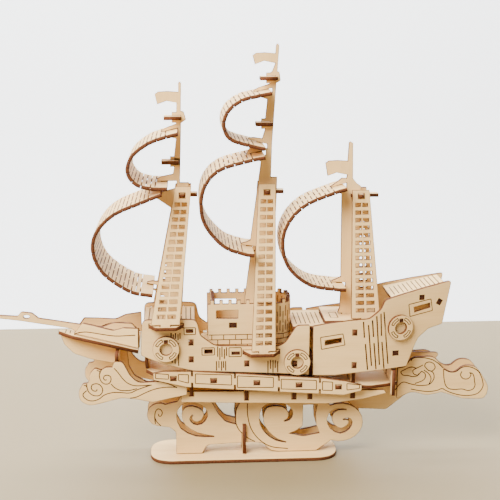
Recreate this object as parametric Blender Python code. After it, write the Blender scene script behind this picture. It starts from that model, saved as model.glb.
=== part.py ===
"""Laser-cut plywood model of a three-masted sailing ship on a scroll-work stand.

The ship is a press-fit assembly of flat and bent plywood plates.  The bow points to -X,
the port side to -Y, and the stand's base plate rests on z = 0.  Sizes are in millimetres
and are turned into metres where the meshes are made.
"""
import math

import bmesh
import bpy
from mathutils import Matrix, Vector

MM = 0.001
PLY = 2.2                 # plywood thickness
HALF = PLY / 2
GAP = 0.3                 # clearance wherever two plates meet
SLOT = PLY + 2 * GAP      # width of a slot that a plate passes through
PORT, STARBOARD = -1, 1
SIDES = (("port", PORT), ("starboard", STARBOARD))

# stand
BASE_HALF_LENGTH = 59.6
BASE_HALF_WIDTH = 17.6
STAND_Y = 5.8             # centre planes of the two scroll plates
STAND_TOP = 44.0
FOOT_Z = PLY + GAP

# hull
PANEL_Y = 19.9            # centre planes of the flat stretches of the side panels
TRIM_Y = PANEL_Y + PLY + GAP
SKIRT_Y = 17.0
BEND_START, BEND_END = 72.0, 88.0
BEND_ANGLE = math.radians(11.3)
BOARD_Z = 55.5            # waterline board's height at x = 0
BOARD_SLOPE = -0.075
FRAME_X = (-33.0, 1.0, 30.5, 67.3)
FRAME_TABS = ((70.0, 80.8), (66.7,), (66.0,), (64.2, 85.2))   # heights of each frame's tabs
BULKHEAD_X = -60.2
SEAM_X = 40.5             # where the fore and aft side panels meet
KEEL_BOTTOM = 38.0
LAP_Z = 47.0              # where frames and keel are halved into each other
ARMOUR_TABS = (-44.0, -19.5, 7.0, 33.0, 57.5)
ARMOUR_JOINTS = (-32.6, -6.4, 20.6, 46.0)
ARMOUR_FRONT, ARMOUR_AFT = -56.2, 72.0
RINGS = (("fore", -48.2, 77.3), ("mid", 31.8, 67.4), ("aft", 95.6, 87.4))
BULWARK_SPREAD = 19.3     # degrees between a bulwark and the middle plane
BOW_WAVE_Y = 20.0
STERN_WAVE_Y = 6.6

# decks
MAIN_DECK_Z = 74.0
FORE_DECK_Z = 91.6
QUARTER_DECK_Z = 88.0
STEP_Z = QUARTER_DECK_Z + PLY + GAP
BOW_DECK_TIP = (-115.5, 82.6)
BOW_DECK_AFT = (-65.0, 75.2)
POOP_FRONT = (91.0, 104.0)
POOP_AFT = (124.6, 112.6)
DECK_HALF = PANEL_Y - HALF - GAP
FORE_CHANNEL = (-58.4, -37.2)
MAIN_CHANNEL = (-1.4, 21.4)
CASTLE_HALF = 13.5
CASTLE_CORNER = 9.0
CASTLE_FRONT, CASTLE_AFT = -22.5, 28.0
CASTLE_TOP, CASTLE_FOOT = 102.8, MAIN_DECK_Z + HALF + GAP

# masts and rigging
FORE_TENON, MAIN_TENON, MIZZEN_TENON = (-50.0, -41.0), (4.0, 13.0), (62.0, 70.5)
FORE_NESTS = ((-42.4, 215.2), (-44.2, 188.6))
MAIN_NESTS = ((15.4, 238.4), (12.8, 211.2))
CROSSTREE_Z = {"fore": 168.8, "main": 170.2, "mizzen": 167.4}
SHROUD_TOP = {"fore": 174.2, "main": 175.4, "mizzen": 171.0}
SHROUD_LEAN_TOP = 5.4     # distance of a shroud's top from the middle plane
SHROUD_FOOT_Y = 25.2
MIZZEN_FOOT_X, MIZZEN_FOOT_Y = 75.0, 13.5
# mast, foot's ends, head's ends, foot's height, foot's distance out, rows of holes
SHROUDS = (
    ("fore", (-56.9, -39.6), (-41.2, -31.6), FORE_DECK_Z + HALF + 0.6, SHROUD_FOOT_Y, 16),
    ("main", (3.7, 18.3), (9.1, 19.5), MAIN_DECK_Z + HALF + 0.6, SHROUD_FOOT_Y, 19),
    ("mizzen", (66.0, 84.0), (66.4, 76.8), STEP_Z + HALF + 0.6, MIZZEN_FOOT_Y, 15),
)
FORE_SAIL, WIDE_SAIL, NARROW_SAIL = 23.5, 22.0, 15.0   # half widths
SAILS = {
    "fore_lower_sail": (FORE_SAIL, [(-49.4, 172.2), (-60.0, 168.0), (-78.0, 160.2),
                                    (-88.4, 149.0), (-90.0, 137.0), (-84.0, 124.8),
                                    (-69.0, 114.0), (-55.6, 111.0)]),
    "fore_upper_sail": (NARROW_SAIL, [(-39.2, 207.7), (-48.2, 205.4), (-57.0, 202.0),
                                      (-66.0, 194.8),
                                      (-68.8, 186.0), (-64.4, 178.8), (-56.0, 175.9),
                                      (-45.8, 175.5)]),
    "main_upper_sail": (NARROW_SAIL, [(15.8, 230.8), (7.0, 229.1), (-1.6, 226.8), (-9.4, 221.0),
                                      (-12.4, 212.6), (-8.8, 204.6), (2.0, 200.7), (11.8, 198.3)]),
    "main_lower_sail": (WIDE_SAIL, [(12.0, 193.4), (2.0, 191.4), (-14.6, 186.4), (-23.4, 177.4),
                                    (-26.1, 165.0), (-23.2, 152.6), (-12.6, 140.4), (0.0, 135.4),
                                    (5.6, 134.6)]),
    "mizzen_sail": (WIDE_SAIL, [(61.8, 173.0), (54.2, 170.8), (37.0, 163.6), (26.9, 153.2),
                                (23.2, 140.4), (26.9, 125.6), (39.6, 114.4), (56.0, 111.0),
                                (62.4, 110.6)]),
}

BIRCH = (0.80, 0.66, 0.44)
BIRCH_LIGHT = (0.86, 0.73, 0.52)
BIRCH_DEEP = (0.70, 0.53, 0.32)


# ---------------------------------------------------------------- scene and materials

def clear_scene():
    """Remove everything that a new file holds."""
    for item in list(bpy.data.objects):
        bpy.data.objects.remove(item, do_unlink=True)


def new_collection(name):
    """Make a collection and link it under the scene."""
    found = bpy.data.collections.new(name)
    bpy.context.scene.collection.children.link(found)
    return found


def new_material(name, colour):
    """Make a plain Principled wood material."""
    material = bpy.data.materials.new(name)
    material.use_nodes = True
    shader = material.node_tree.nodes["Principled BSDF"]
    shader.inputs["Base Color"].default_value = (*colour, 1.0)
    shader.inputs["Roughness"].default_value = 0.62
    shader.inputs["Metallic"].default_value = 0.0
    return material


# ---------------------------------------------------------------- outlines

def arc(cx, cy, radius, start, end, steps=8, squeeze=1.0):
    """Points along an arc, angles in degrees; squeeze flattens it in height."""
    points = []
    for i in range(steps + 1):
        angle = math.radians(start + (end - start) * i / steps)
        points.append((cx + radius * math.cos(angle), cy + squeeze * radius * math.sin(angle)))
    return points


def fillet(before, corner, after, radius, steps):
    """Points of the round that replaces one corner."""
    corner2, first, last = (Vector(p[:2]) for p in (corner, before, after))
    to_first, to_last = first - corner2, last - corner2
    half_angle = to_first.angle(to_last) / 2
    if half_angle > math.radians(88):
        return [tuple(corner2)]
    reach = min(radius / math.tan(half_angle), 0.49 * to_first.length, 0.49 * to_last.length)
    start = corner2 + to_first.normalized() * reach
    end = corner2 + to_last.normalized() * reach
    points = []
    for i in range(steps + 1):
        t = i / steps
        points.append(tuple(start * (1 - t) ** 2 + corner2 * 2 * t * (1 - t) + end * t ** 2))
    return points


def rounded(corners, steps=5):
    """Closed outline from corners (u, v) or (u, v, radius)."""
    points = []
    count = len(corners)
    for i, corner in enumerate(corners):
        if len(corner) == 2:
            points.append(corner)
        else:
            points += fillet(corners[i - 1], corner, corners[(i + 1) % count], corner[2], steps)
    return points


def smooth_path(knots, per_span=3):
    """Open Catmull-Rom curve through the knots."""
    vectors = [Vector(k) for k in knots]
    ends = [2 * vectors[0] - vectors[1]] + vectors + [2 * vectors[-1] - vectors[-2]]
    points = []
    for i in range(1, len(ends) - 2):
        p0, p1, p2, p3 = ends[i - 1:i + 3]
        for step in range(per_span):
            t = step / per_span
            points.append(0.5 * (2 * p1 + (p2 - p0) * t + (2 * p0 - 5 * p1 + 4 * p2 - p3) * t ** 2
                                 + (3 * p1 - p0 - 3 * p2 + p3) * t ** 3))
    points.append(vectors[-1])
    return points


def ribbon(knots, width=None, per_span=2):
    """Closed outline round a smooth path; knots (u, v, width) make the width vary."""
    path = smooth_path([(k[0], k[1], width or k[2]) for k in knots], per_span)
    left, right = [], []
    for i, point in enumerate(path):
        along = (path[min(i + 1, len(path) - 1)] - path[max(i - 1, 0)]).to_2d()
        reach = Vector((-along.y, along.x)).normalized() * point.z / 2
        left.append(tuple(point.to_2d() + reach))
        right.append(tuple(point.to_2d() - reach))
    return left + right[::-1]


def rectangle(u0, v0, u1, v1):
    """Corners of an upright rectangle."""
    return [(u0, v0), (u1, v0), (u1, v1), (u0, v1)]


def mirrored(half):
    """Close a half outline with its mirror image across the u axis."""
    return half + [(p[0], -p[1], *p[2:]) for p in reversed(half) if p[1] != 0.0]


# ---------------------------------------------------------------- plates

class Yard:
    """Makes plates and keeps track of where they are linked."""

    def __init__(self):
        self.parts = new_collection("wooden_ship_puzzle")
        self.cutters = new_collection("cutters")

    def plate(self, name, outline, holes=(), at=(0, 0, 0), turn=(90, 0, 0), colour=BIRCH,
              thickness=PLY):
        """Extruded outline, placed by its centre plane; turn is in degrees."""
        curve = bpy.data.curves.new(name, "CURVE")
        curve.dimensions = "2D"
        curve.fill_mode = "BOTH"
        curve.extrude = thickness / 2 * MM
        for loop in (outline, *holes):
            spline = curve.splines.new("POLY")
            spline.points.add(len(loop) - 1)
            for point, place in zip(spline.points, loop):
                point.co = (place[0] * MM, place[1] * MM, 0.0, 1.0)
            spline.use_cyclic_u = True
        piece = bpy.data.objects.new(name, curve)
        piece.location = Vector(at) * MM
        piece.rotation_euler = [math.radians(angle) for angle in turn]
        piece.data.materials.append(new_material(name, colour))
        self.parts.objects.link(piece)
        return piece

    def to_mesh(self, piece):
        """Swap a curve plate for the welded mesh of the same plate."""
        bpy.context.view_layer.update()
        shown = piece.evaluated_get(bpy.context.evaluated_depsgraph_get())
        mesh = bpy.data.meshes.new_from_object(shown)
        work = bmesh.new()
        work.from_mesh(mesh)
        bmesh.ops.remove_doubles(work, verts=work.verts, dist=0.01 * MM)
        bmesh.ops.recalc_face_normals(work, faces=work.faces)
        work.to_mesh(mesh)
        work.free()
        name, matrix = piece.name, piece.matrix_world.copy()
        material = piece.data.materials[0]
        curve = piece.data
        bpy.data.objects.remove(piece)
        bpy.data.curves.remove(curve)
        solid = bpy.data.objects.new(name, mesh)
        solid.matrix_world = matrix
        mesh.materials.clear()
        mesh.materials.append(material)
        self.parts.objects.link(solid)
        return solid

    def cut_box(self, piece, centre, size, lean=0.0):
        """Cut a box, leaning by degrees about Y, out of a mesh plate."""
        bpy.ops.mesh.primitive_cube_add(size=1.0)
        box = bpy.context.active_object
        box.name = "cutter_" + piece.name
        box.location = Vector(centre) * MM
        box.rotation_euler = (0.0, math.radians(lean), 0.0)
        box.scale = Vector(size) * MM
        for group in list(box.users_collection):
            group.objects.unlink(box)
        self.cutters.objects.link(box)
        box.hide_render = True
        box.display_type = "WIRE"
        cut = piece.modifiers.new("notch", "BOOLEAN")
        cut.operation = "DIFFERENCE"
        cut.solver = "EXACT"
        cut.object = box


def slice_mesh(mesh, stations):
    """Add edge loops to a plate across x = station, so that it can bend there."""
    work = bmesh.new()
    work.from_mesh(mesh)
    for station in stations:
        geometry = work.verts[:] + work.edges[:] + work.faces[:]
        bmesh.ops.bisect_plane(work, geom=geometry, plane_co=(station * MM, 0, 0),
                               plane_no=(1, 0, 0), dist=1e-7)
    work.to_mesh(mesh)
    work.free()


def bend_point(along, across):
    """Plan position of a panel point: along the panel, and out from its middle surface."""
    if along <= BEND_START:
        return along, PANEL_Y + across
    radius = (BEND_END - BEND_START) / BEND_ANGLE
    angle = min((along - BEND_START) / radius, BEND_ANGLE)
    x = BEND_START + (radius + across) * math.sin(angle)
    y = PANEL_Y + across - (radius + across) * (1 - math.cos(angle))
    if along > BEND_END:
        x += (along - BEND_END) * math.cos(BEND_ANGLE)
        y -= (along - BEND_END) * math.sin(BEND_ANGLE)
    return x, y


# ---------------------------------------------------------------- stand

def make_base(yard):
    """Flat foot plate with round corners."""
    half = [(-BASE_HALF_LENGTH, -BASE_HALF_WIDTH, 16.0),
            (BASE_HALF_LENGTH, -BASE_HALF_WIDTH, 16.0)]
    yard.plate("base_plate", rounded(mirrored(half), 12), at=(0, 0, HALF), turn=(0, 0, 0))


def stand_outline():
    """Profile of a scroll plate: two feet, two scrolls and a level top."""
    right_scroll = arc(61.5, 21.3, 14.6, -112, 116, 14, 0.88)
    left_scroll = arc(-53.6, 29.2, 7.6, 60, 262, 10)
    body = rounded([(-43.1, FOOT_Z), (-26.6, FOOT_Z), (-23.6, 8.2, 4.0), (4.0, 9.4, 3.0),
                    (12.0, 8.6, 6.0), (17.0, 3.4, 6.0), (22.0, FOOT_Z), (46.0, FOOT_Z)])
    top = [(51.0, 36.5), (50.0, STAND_TOP), (-38.0, STAND_TOP), (-42.0, 37.6)]
    return body + right_scroll + top + left_scroll + rounded([(-47.0, 20.6), (-43.1, 17.4, 3.0),
                                                              (-43.1, 10.0)])


def stand_holes():
    """Cut-outs of a scroll plate: three spirals, a curved triangle and a window."""
    big_spiral = ribbon([(-19.1, 13.7, 0.5), (-30.0, 15.3, 2.6), (-38.6, 20.6, 3.6),
                         (-41.0, 28.6, 3.2), (-38.2, 34.4, 2.7), (-32.2, 35.6, 2.6),
                         (-26.0, 32.6, 2.4), (-24.2, 27.7, 2.4), (-27.4, 23.2, 2.3),
                         (-31.7, 23.2, 1.9), (-33.7, 26.0, 1.3), (-32.5, 28.4, 0.6)])
    mid_spiral = ribbon([(26.8, 8.8, 0.5), (20.8, 10.6, 1.4), (14.8, 15.5, 2.2), (11.4, 21.8, 2.5),
                         (11.4, 28.4, 2.6), (13.8, 32.8, 2.2), (18.0, 34.2, 2.1), (24.4, 33.8, 2.2),
                         (28.4, 31.2, 2.6), (29.8, 27.4, 2.6), (28.4, 24.2, 1.7),
                         (25.6, 23.0, 0.6)])
    end_spiral = ribbon([(65.2, 29.9, 0.5), (60.1, 30.2, 1.2), (56.2, 28.0, 2.2), (54.6, 23.6, 3.2),
                         (56.6, 18.4, 3.6), (61.8, 15.4, 3.5), (66.4, 17.6, 3.0),
                         (68.2, 21.2, 2.2), (66.6, 23.5, 1.5), (63.3, 23.2, 0.6)])
    triangle = rounded([(-20.4, 37.0), (-16.0, 28.6, 6.0), (-12.0, 23.6, 6.0), (-5.3, 21.6),
                        (-5.1, 31.0, 4.0), (-2.2, 37.0)])
    window = rounded([(37.6, 33.6), (37.4, 19.4, 2.0), (33.0, 16.2, 4.0), (28.6, 14.6),
                      (38.0, 12.4, 8.0), (48.2, 14.4), (46.2, 20.4, 3.0), (45.6, 27.0, 4.0),
                      (46.6, 33.6)])
    return [big_spiral, mid_spiral, end_spiral, triangle, window]


def make_stand(yard):
    """Two scroll plates and the brace that crosses between them."""
    for side, sign in SIDES:
        plate = yard.plate(f"stand_scroll_{side}", stand_outline(), stand_holes(),
                           at=(0, sign * STAND_Y, 0), colour=BIRCH_LIGHT)
        solid = yard.to_mesh(plate)
        lap = 16.0
        yard.cut_box(solid, (0.0, sign * STAND_Y, lap - 10), (SLOT, 2 * PLY, 20.0))
    outer, inner_top = 9.4, 30.0
    slot_in, slot_out = STAND_Y - SLOT / 2, STAND_Y + SLOT / 2
    half = [(-outer, FOOT_Z), (-outer, 22.0), (-slot_out, 22.0), (-slot_out, 15.7),
            (-slot_in, 15.7), (-slot_in, inner_top)]
    outline = half + [(-u, v) for u, v in reversed(half)]
    yard.plate("stand_brace", outline, turn=(90, 0, 90), colour=BIRCH_DEEP)


# ---------------------------------------------------------------- hull

def board_z(x):
    """Height of the waterline board's middle surface."""
    return BOARD_Z + BOARD_SLOPE * x


def on_board(x):
    """Distance along the sloping board that lies at ship position x."""
    return x * math.hypot(1.0, BOARD_SLOPE)


def make_keel(yard):
    """Upright middle plate: beak, stem, keel, skeg and stern horn."""
    under = -HALF - GAP
    profile = [(-113.6, 80.0), (-111.6, 74.8, 3.0), (-106.0, 68.8, 6.0), (-94.5, 64.6, 5.0),
               (-78.4, 61.4, 3.0), (-74.0, 55.4, 6.0), (-67.0, 47.4, 8.0), (-54.0, KEEL_BOTTOM, 10.0),
               (62.0, KEEL_BOTTOM, 6.0), (72.0, 28.4, 4.0), (92.0, 27.2, 4.0), (106.5, 39.0, 8.0),
               (113.5, 52.0, 10.0), (126.6, 64.8, 2.0), (103.5, 65.6, 2.0), (97.2, 60.0)]
    stem = rounded([(-44.0, board_z(-44.0) + under), (-49.0, 50.4, 3.0), (-60.6, 48.8, 4.0),
                    (-68.6, 53.4, 5.0), (-72.0, 60.0, 5.0), (-73.4, bow_deck_z(-73.4) + under)])
    deck_line = [(-113.2, bow_deck_z(-113.2) + under)]
    slots = []
    for x in reversed(FRAME_X):
        slots += [(x + SLOT / 2, board_z(x) + under), (x + SLOT / 2, LAP_Z),
                  (x - SLOT / 2, LAP_Z), (x - SLOT / 2, board_z(x) + under)]
    ends = [(97.2, board_z(97.2) + under)]
    outline = rounded(profile) + ends + slots + stem + deck_line
    yard.plate("keel_plate", outline, colour=BIRCH_DEEP)


def make_waterline_board(yard):
    """Sloping board that the frames pass through; its tabs hold the armour plates."""
    edge, tab_out = TRIM_Y - HALF - GAP, TRIM_Y + HALF + 0.2
    half = [(-61.0, 0.0), (-61.0, -12.0), (-54.0, -edge, 3.0)]
    for centre in ARMOUR_TABS:
        x = on_board(centre)
        half += [(x - 1.6, -edge), (x - 1.6, -tab_out), (x + 1.6, -tab_out), (x + 1.6, -edge)]
    half += [(78.0, -edge, 10.0), (89.0, -15.5, 4.0), (96.5, -11.0), (96.5, 0.0)]
    outline = rounded(mirrored(half))
    holes = [rectangle(on_board(x) - SLOT / 2, -11.0, on_board(x) + SLOT / 2, 11.0)
             for x in FRAME_X]
    slope = math.degrees(math.atan(-BOARD_SLOPE))
    yard.plate("waterline_board", outline, holes, at=(0, 0, BOARD_Z), turn=(0, slope, 0))


def make_armour(yard):
    """Five armour plates in a row on each side, held together by thin necks."""
    half_height = 5.1
    neck, notch = 2.2, 0.45
    top = [(ARMOUR_FRONT, board_z(ARMOUR_FRONT) + 2.6)]
    bottom = [(ARMOUR_FRONT, board_z(ARMOUR_FRONT) - 1.6)]
    top.append((-50.0, board_z(-50.0) + half_height - 1.0))
    bottom.append((-36.0, board_z(-36.0) - half_height))
    for x in ARMOUR_JOINTS:
        height = board_z(x)
        for points, sign in ((top, 1), (bottom, -1)):
            points += [(x - notch, height + sign * half_height), (x - notch, height + sign * neck),
                       (x + notch, height + sign * neck), (x + notch, height + sign * half_height)]
    top += [(62.0, board_z(62.0) + half_height - 1.2), (ARMOUR_AFT, board_z(ARMOUR_AFT) + 2.0)]
    bottom += [(61.0, board_z(61.0) - half_height), (ARMOUR_AFT, board_z(ARMOUR_AFT) - 1.6)]
    holes = []
    for x in ARMOUR_TABS:
        height = board_z(x)
        holes.append(rectangle(x - 1.9, height - HALF - 0.4, x + 1.9, height + HALF + 0.4))
    for side, sign in SIDES:
        yard.plate(f"armour_strip_{side}", bottom + top[::-1], holes,
                   at=(0, sign * TRIM_Y, 0), colour=BIRCH_LIGHT)


def make_skirts(yard):
    """Low walls along the underside, sweeping up to the stern."""
    outline = [(-39.5, 41.4), (20.0, 39.4), (53.0, 38.4, 30.0), (74.0, 41.0, 20.0),
               (88.6, 44.6), (87.0, 46.6, 1.0)]
    for x in (FRAME_X[3], SEAM_X, *FRAME_X[2::-1]):
        top, floor = 47.8 - 0.012 * x, frame_foot(x) - GAP
        outline += [(x + SLOT / 2, top), (x + SLOT / 2, floor), (x - SLOT / 2, floor),
                    (x - SLOT / 2, top)]
    outline.append((-39.5, 48.2))
    for side, sign in SIDES:
        yard.plate(f"hull_skirt_{side}", rounded(outline), at=(0, sign * SKIRT_Y, 0))


def frame_foot(x):
    """Height from which a frame's edge stands outside the skirts."""
    return 45.4 if x == FRAME_X[0] else 42.0


def frame_outline(x, top, tabs):
    """Cross frame: feet over the stand, laps for keel and board, tabs into the panels."""
    low, seat = 41.0, STAND_TOP + GAP
    skirt_in, skirt_tab = SKIRT_Y - HALF - GAP, SKIRT_Y + HALF + 0.3
    board_low, board_high = board_z(x) - HALF - GAP, board_z(x) + HALF + GAP
    half = [(SLOT / 2, LAP_Z + GAP), (SLOT / 2, seat), (8.6, seat), (8.6, low)]
    half += [(skirt_in, low), (skirt_in, frame_foot(x)), (skirt_tab, frame_foot(x)),
             (skirt_tab, board_low), (10.6, board_low), (10.6, board_high),
             (DECK_HALF, board_high)]
    for tab in tabs:
        half += [(DECK_HALF, tab - 1.5), (PANEL_Y + HALF + 0.2, tab - 1.5),
                 (PANEL_Y + HALF + 0.2, tab + 1.5), (DECK_HALF, tab + 1.5)]
    half.append((DECK_HALF, top))
    return half[::-1] + [(-u, v) for u, v in half]


def make_frames(yard):
    """Four cross frames and the bulkhead at the bow."""
    tops = (89.9, MAIN_DECK_Z - HALF - GAP, MAIN_DECK_Z - HALF - GAP,
            QUARTER_DECK_Z - HALF - GAP)
    for number, (x, top, tabs) in enumerate(zip(FRAME_X, tops, FRAME_TABS), 1):
        yard.plate(f"cross_frame_{number}", frame_outline(x, top, tabs), at=(x, 0, 0),
                   turn=(90, 0, 90), colour=BIRCH_DEEP)
    low = board_z(BULKHEAD_X) + HALF + GAP
    bulkhead = [(-11.0, low), (11.0, low), (DECK_HALF, 68.0), (DECK_HALF, 72.4), (-DECK_HALF, 72.4),
                (-DECK_HALF, 68.0)]
    yard.plate("bow_bulkhead", bulkhead, at=(BULKHEAD_X, 0, 0), turn=(90, 0, 90),
               colour=BIRCH_DEEP)


def fore_panel_shape():
    """Outline and holes of a fore side panel."""
    outline = rounded([(-62.5, 95.3, 4.0), (-63.3, 73.0, 2.0), (-50.5, 67.3, 6.0),
                       (-31.7, 62.6, 12.0), (19.6, 60.0), (39.4, 58.6), (39.6, 90.4, 1.0),
                       (31.6, 90.4, 4.0), (23.4, 77.3, 9.0), (-18.5, 78.3, 9.0),
                       (-27.4, 85.0, 6.0), (-29.4, 94.9, 4.0), (-41.0, 95.6)])
    holes = [rectangle(-24.9, 73.6, -20.0, 76.2)]
    for x, tabs in zip(FRAME_X, FRAME_TABS):
        if x < 39.0:
            holes += [tab_hole(x, tab) for tab in tabs]
    for (front, aft), z in ((FORE_CHANNEL, FORE_DECK_Z), (MAIN_CHANNEL, MAIN_DECK_Z)):
        holes.append(rectangle(front, z - SLOT / 2, aft, z + SLOT / 2))
    return outline, holes


def tab_hole(x, z):
    """Square hole that a frame's tab fills."""
    return rectangle(x - SLOT / 2, z - 1.8, x + SLOT / 2, z + 1.8)


def aft_panel_shape():
    """Outline and holes of an aft side panel, laid out flat."""
    outline = rounded([(41.7, 89.6), (51.0, 91.2), (65.4, 92.9), (76.4, 93.6, 6.0),
                       (83.6, 99.5, 5.0), (85.8, 105.0, 4.0), (93.0, 107.0, 5.0),
                       (110.0, 110.9), (129.4, 114.8, 1.5), (124.2, 87.4, 1.5),
                       (115.0, 85.0, 5.0), (108.2, 79.4, 6.0), (105.4, 73.4, 4.0),
                       (101.0, 61.5, 1.0), (75.4, 60.0), (55.5, 58.0), (41.7, 58.2)])
    windows = [[(49.0, 77.4), (59.2, 79.0), (59.2, 82.0), (49.0, 80.4)],
               [(105.2, 96.2), (115.6, 98.4), (115.2, 101.4), (104.8, 99.4)]]
    tabs = [tab_hole(FRAME_X[3], tab) for tab in FRAME_TABS[3]]
    return outline, windows + tabs


def make_side_panels(yard):
    """Four hull sides; the aft pair bends inwards on its kerfs."""
    outline, holes = fore_panel_shape()
    for side, sign in SIDES:
        yard.plate(f"fore_side_panel_{side}", outline, holes, at=(0, sign * PANEL_Y, 0),
                   colour=BIRCH_LIGHT)
    outline, holes = aft_panel_shape()
    steps = 4
    stations = [BEND_START + (BEND_END - BEND_START) * i / steps for i in range(steps + 1)]
    for side, sign in SIDES:
        panel = yard.to_mesh(yard.plate(f"aft_side_panel_{side}", outline, holes,
                                        colour=BIRCH_LIGHT))
        slice_mesh(panel.data, stations)
        for vertex in panel.data.vertices:
            x, y = bend_point(vertex.co.x / MM, vertex.co.z / MM)
            vertex.co.x, vertex.co.z = x * MM, y * MM
        if sign == STARBOARD:
            panel.data.transform(Matrix.Scale(-1, 4, (0, 0, 1)))
            panel.data.flip_normals()


def ring_shape():
    """Life ring seen from outside: round rim and round hole."""
    return arc(0, 0, 8.1, 0, 350, 35), arc(0, 0, 3.8, 0, 345, 23)


def make_life_rings(yard):
    """Three life rings on each side."""
    rim, hole = ring_shape()
    for name, along, z in RINGS:
        x, y = bend_point(along, PLY + GAP)
        for side, sign in SIDES:
            turn = math.degrees(-BEND_ANGLE) * sign if along > BEND_END else 0.0
            yard.plate(f"life_ring_{name}_{side}", rim, [hole], at=(x, sign * y, z),
                       turn=(90, 0, turn), colour=BIRCH_LIGHT)


# ---------------------------------------------------------------- decks and bow

def bow_deck_z(x):
    """Height of the bow deck's middle surface."""
    (x0, z0), (x1, z1) = BOW_DECK_TIP, BOW_DECK_AFT
    return z0 + (z1 - z0) * (x - x0) / (x1 - x0)


def foot_slot(x, y):
    """Slot in a channel board for the tab under a shroud."""
    return rectangle(x - 3.3, y - 1.9, x + 3.3, y + 1.9)


def channel_deck(yard, name, front, aft, channel, z, mast, shroud_x):
    """Deck between the side panels whose wings reach out to carry the shrouds."""
    wing, lip = SHROUD_FOOT_Y + 3.6, 3.2
    start, end = channel[0] + GAP, channel[1] - GAP
    half = [(front, 0.0), (front, -DECK_HALF), (start, -DECK_HALF), (start, -DECK_HALF - lip),
            (start + 4.0, -wing, 1.5), (end - 4.0, -wing, 1.5), (end, -DECK_HALF - lip),
            (end, -DECK_HALF), (aft, -DECK_HALF), (aft, 0.0)]
    holes = [rectangle(mast[0] - GAP, -SLOT / 2, mast[1] + GAP, SLOT / 2)]
    holes += [foot_slot(shroud_x, sign * SHROUD_FOOT_Y) for _, sign in SIDES]
    yard.plate(name, rounded(mirrored(half)), holes, at=(0, 0, z), turn=(0, 0, 0))


def make_decks(yard):
    """Forecastle, main, quarter and poop decks with the mizzen mast's step."""
    channel_deck(yard, "forecastle_deck", -61.5, -30.5, FORE_CHANNEL, FORE_DECK_Z, FORE_TENON,
                 -48.2)
    channel_deck(yard, "main_deck", -29.6, 38.8, MAIN_CHANNEL, MAIN_DECK_Z, MAIN_TENON, 11.0)
    tenon = rectangle(MIZZEN_TENON[0] - GAP, -SLOT / 2, MIZZEN_TENON[1] + GAP, SLOT / 2)
    quarter = [(29.4, -DECK_HALF), (71.4, -DECK_HALF), (84.0, -17.4), (84.0, 17.4),
               (71.4, DECK_HALF), (29.4, DECK_HALF)]
    yard.plate("quarter_deck", quarter, [tenon], at=(0, 0, QUARTER_DECK_Z), turn=(0, 0, 0))
    step = rounded([(49.5, -16.4, 1.0), (85.4, -16.4, 1.0), (85.4, 16.4, 1.0), (49.5, 16.4, 1.0)])
    feet = [foot_slot(MIZZEN_FOOT_X, sign * MIZZEN_FOOT_Y) for _, sign in SIDES]
    yard.plate("mizzen_step", step, [tenon] + feet, at=(0, 0, STEP_Z), turn=(0, 0, 0))
    (x0, z0), (x1, z1) = POOP_FRONT, POOP_AFT
    slope = math.atan2(z1 - z0, x1 - x0)
    length = math.hypot(x1 - x0, z1 - z0)
    front_half = bend_point(x0, -HALF)[1] - 0.6
    aft_half = bend_point(x1 + 1.5, -HALF)[1] - 0.6
    poop = [(0.0, -front_half), (length, -aft_half), (length, aft_half), (0.0, front_half)]
    yard.plate("poop_deck", poop, at=(x0, 0, z0), turn=(0, -math.degrees(slope), 0))


def make_bow(yard):
    """Pointed bow deck, the two bulwarks on it and the bowsprit between them."""
    (x0, z0), (x1, z1) = BOW_DECK_TIP, BOW_DECK_AFT
    slope = math.atan2(z1 - z0, x1 - x0)
    length = math.hypot(x1 - x0, z1 - z0)
    half = [(0.4, -1.4, 1.0), (10.0, -7.6, 6.0), (length, -20.6)]
    yard.plate("bow_deck", rounded(mirrored(half)), at=(x0, 0, z0),
               turn=(0, -math.degrees(slope), 0))
    spread = math.radians(BULWARK_SPREAD)
    for side, sign in SIDES:
        start = Vector((-104.6, sign * 4.2))
        length = 40.0 / math.cos(spread)
        foot = [(0.0, bow_deck_z(-104.6) + HALF + 1.0), (length, bow_deck_z(-64.6) + HALF + 1.0)]
        outline = rounded([foot[0], (5.4, 90.0, 1.5), (14.5, 88.8), (20.5, 87.8, 3.0),
                           (26.0, 87.0, 4.0), (32.5, 89.2, 3.0), (length, 89.6), foot[1]])
        yard.plate(f"bow_bulwark_{side}", outline, at=(start.x, start.y, 0),
                   turn=(90, 0, sign * BULWARK_SPREAD), colour=BIRCH_LIGHT)
    under = HALF + GAP + 0.2
    sprit = rounded([(-153.0, 94.4, 0.5), (-152.6, 92.4, 0.5), (-139.0, 90.6, 4.0), (-107.0, 85.0),
                     (-104.0, bow_deck_z(-104.0) + under), (-66.0, bow_deck_z(-66.0) + under),
                     (-66.0, 83.0, 1.0), (-69.5, 87.6, 3.0), (-80.7, 88.2, 3.0),
                     (-88.0, 85.6, 4.0), (-104.0, 88.0), (-127.0, 92.0), (-131.0, 95.4, 2.0),
                     (-137.5, 96.2, 2.0), (-139.8, 93.4, 1.0)])
    eye = arc(-134.3, 93.0, 2.0, 0, 330, 11, 0.6)
    yard.plate("bowsprit", sprit, [eye], colour=BIRCH_LIGHT)


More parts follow.
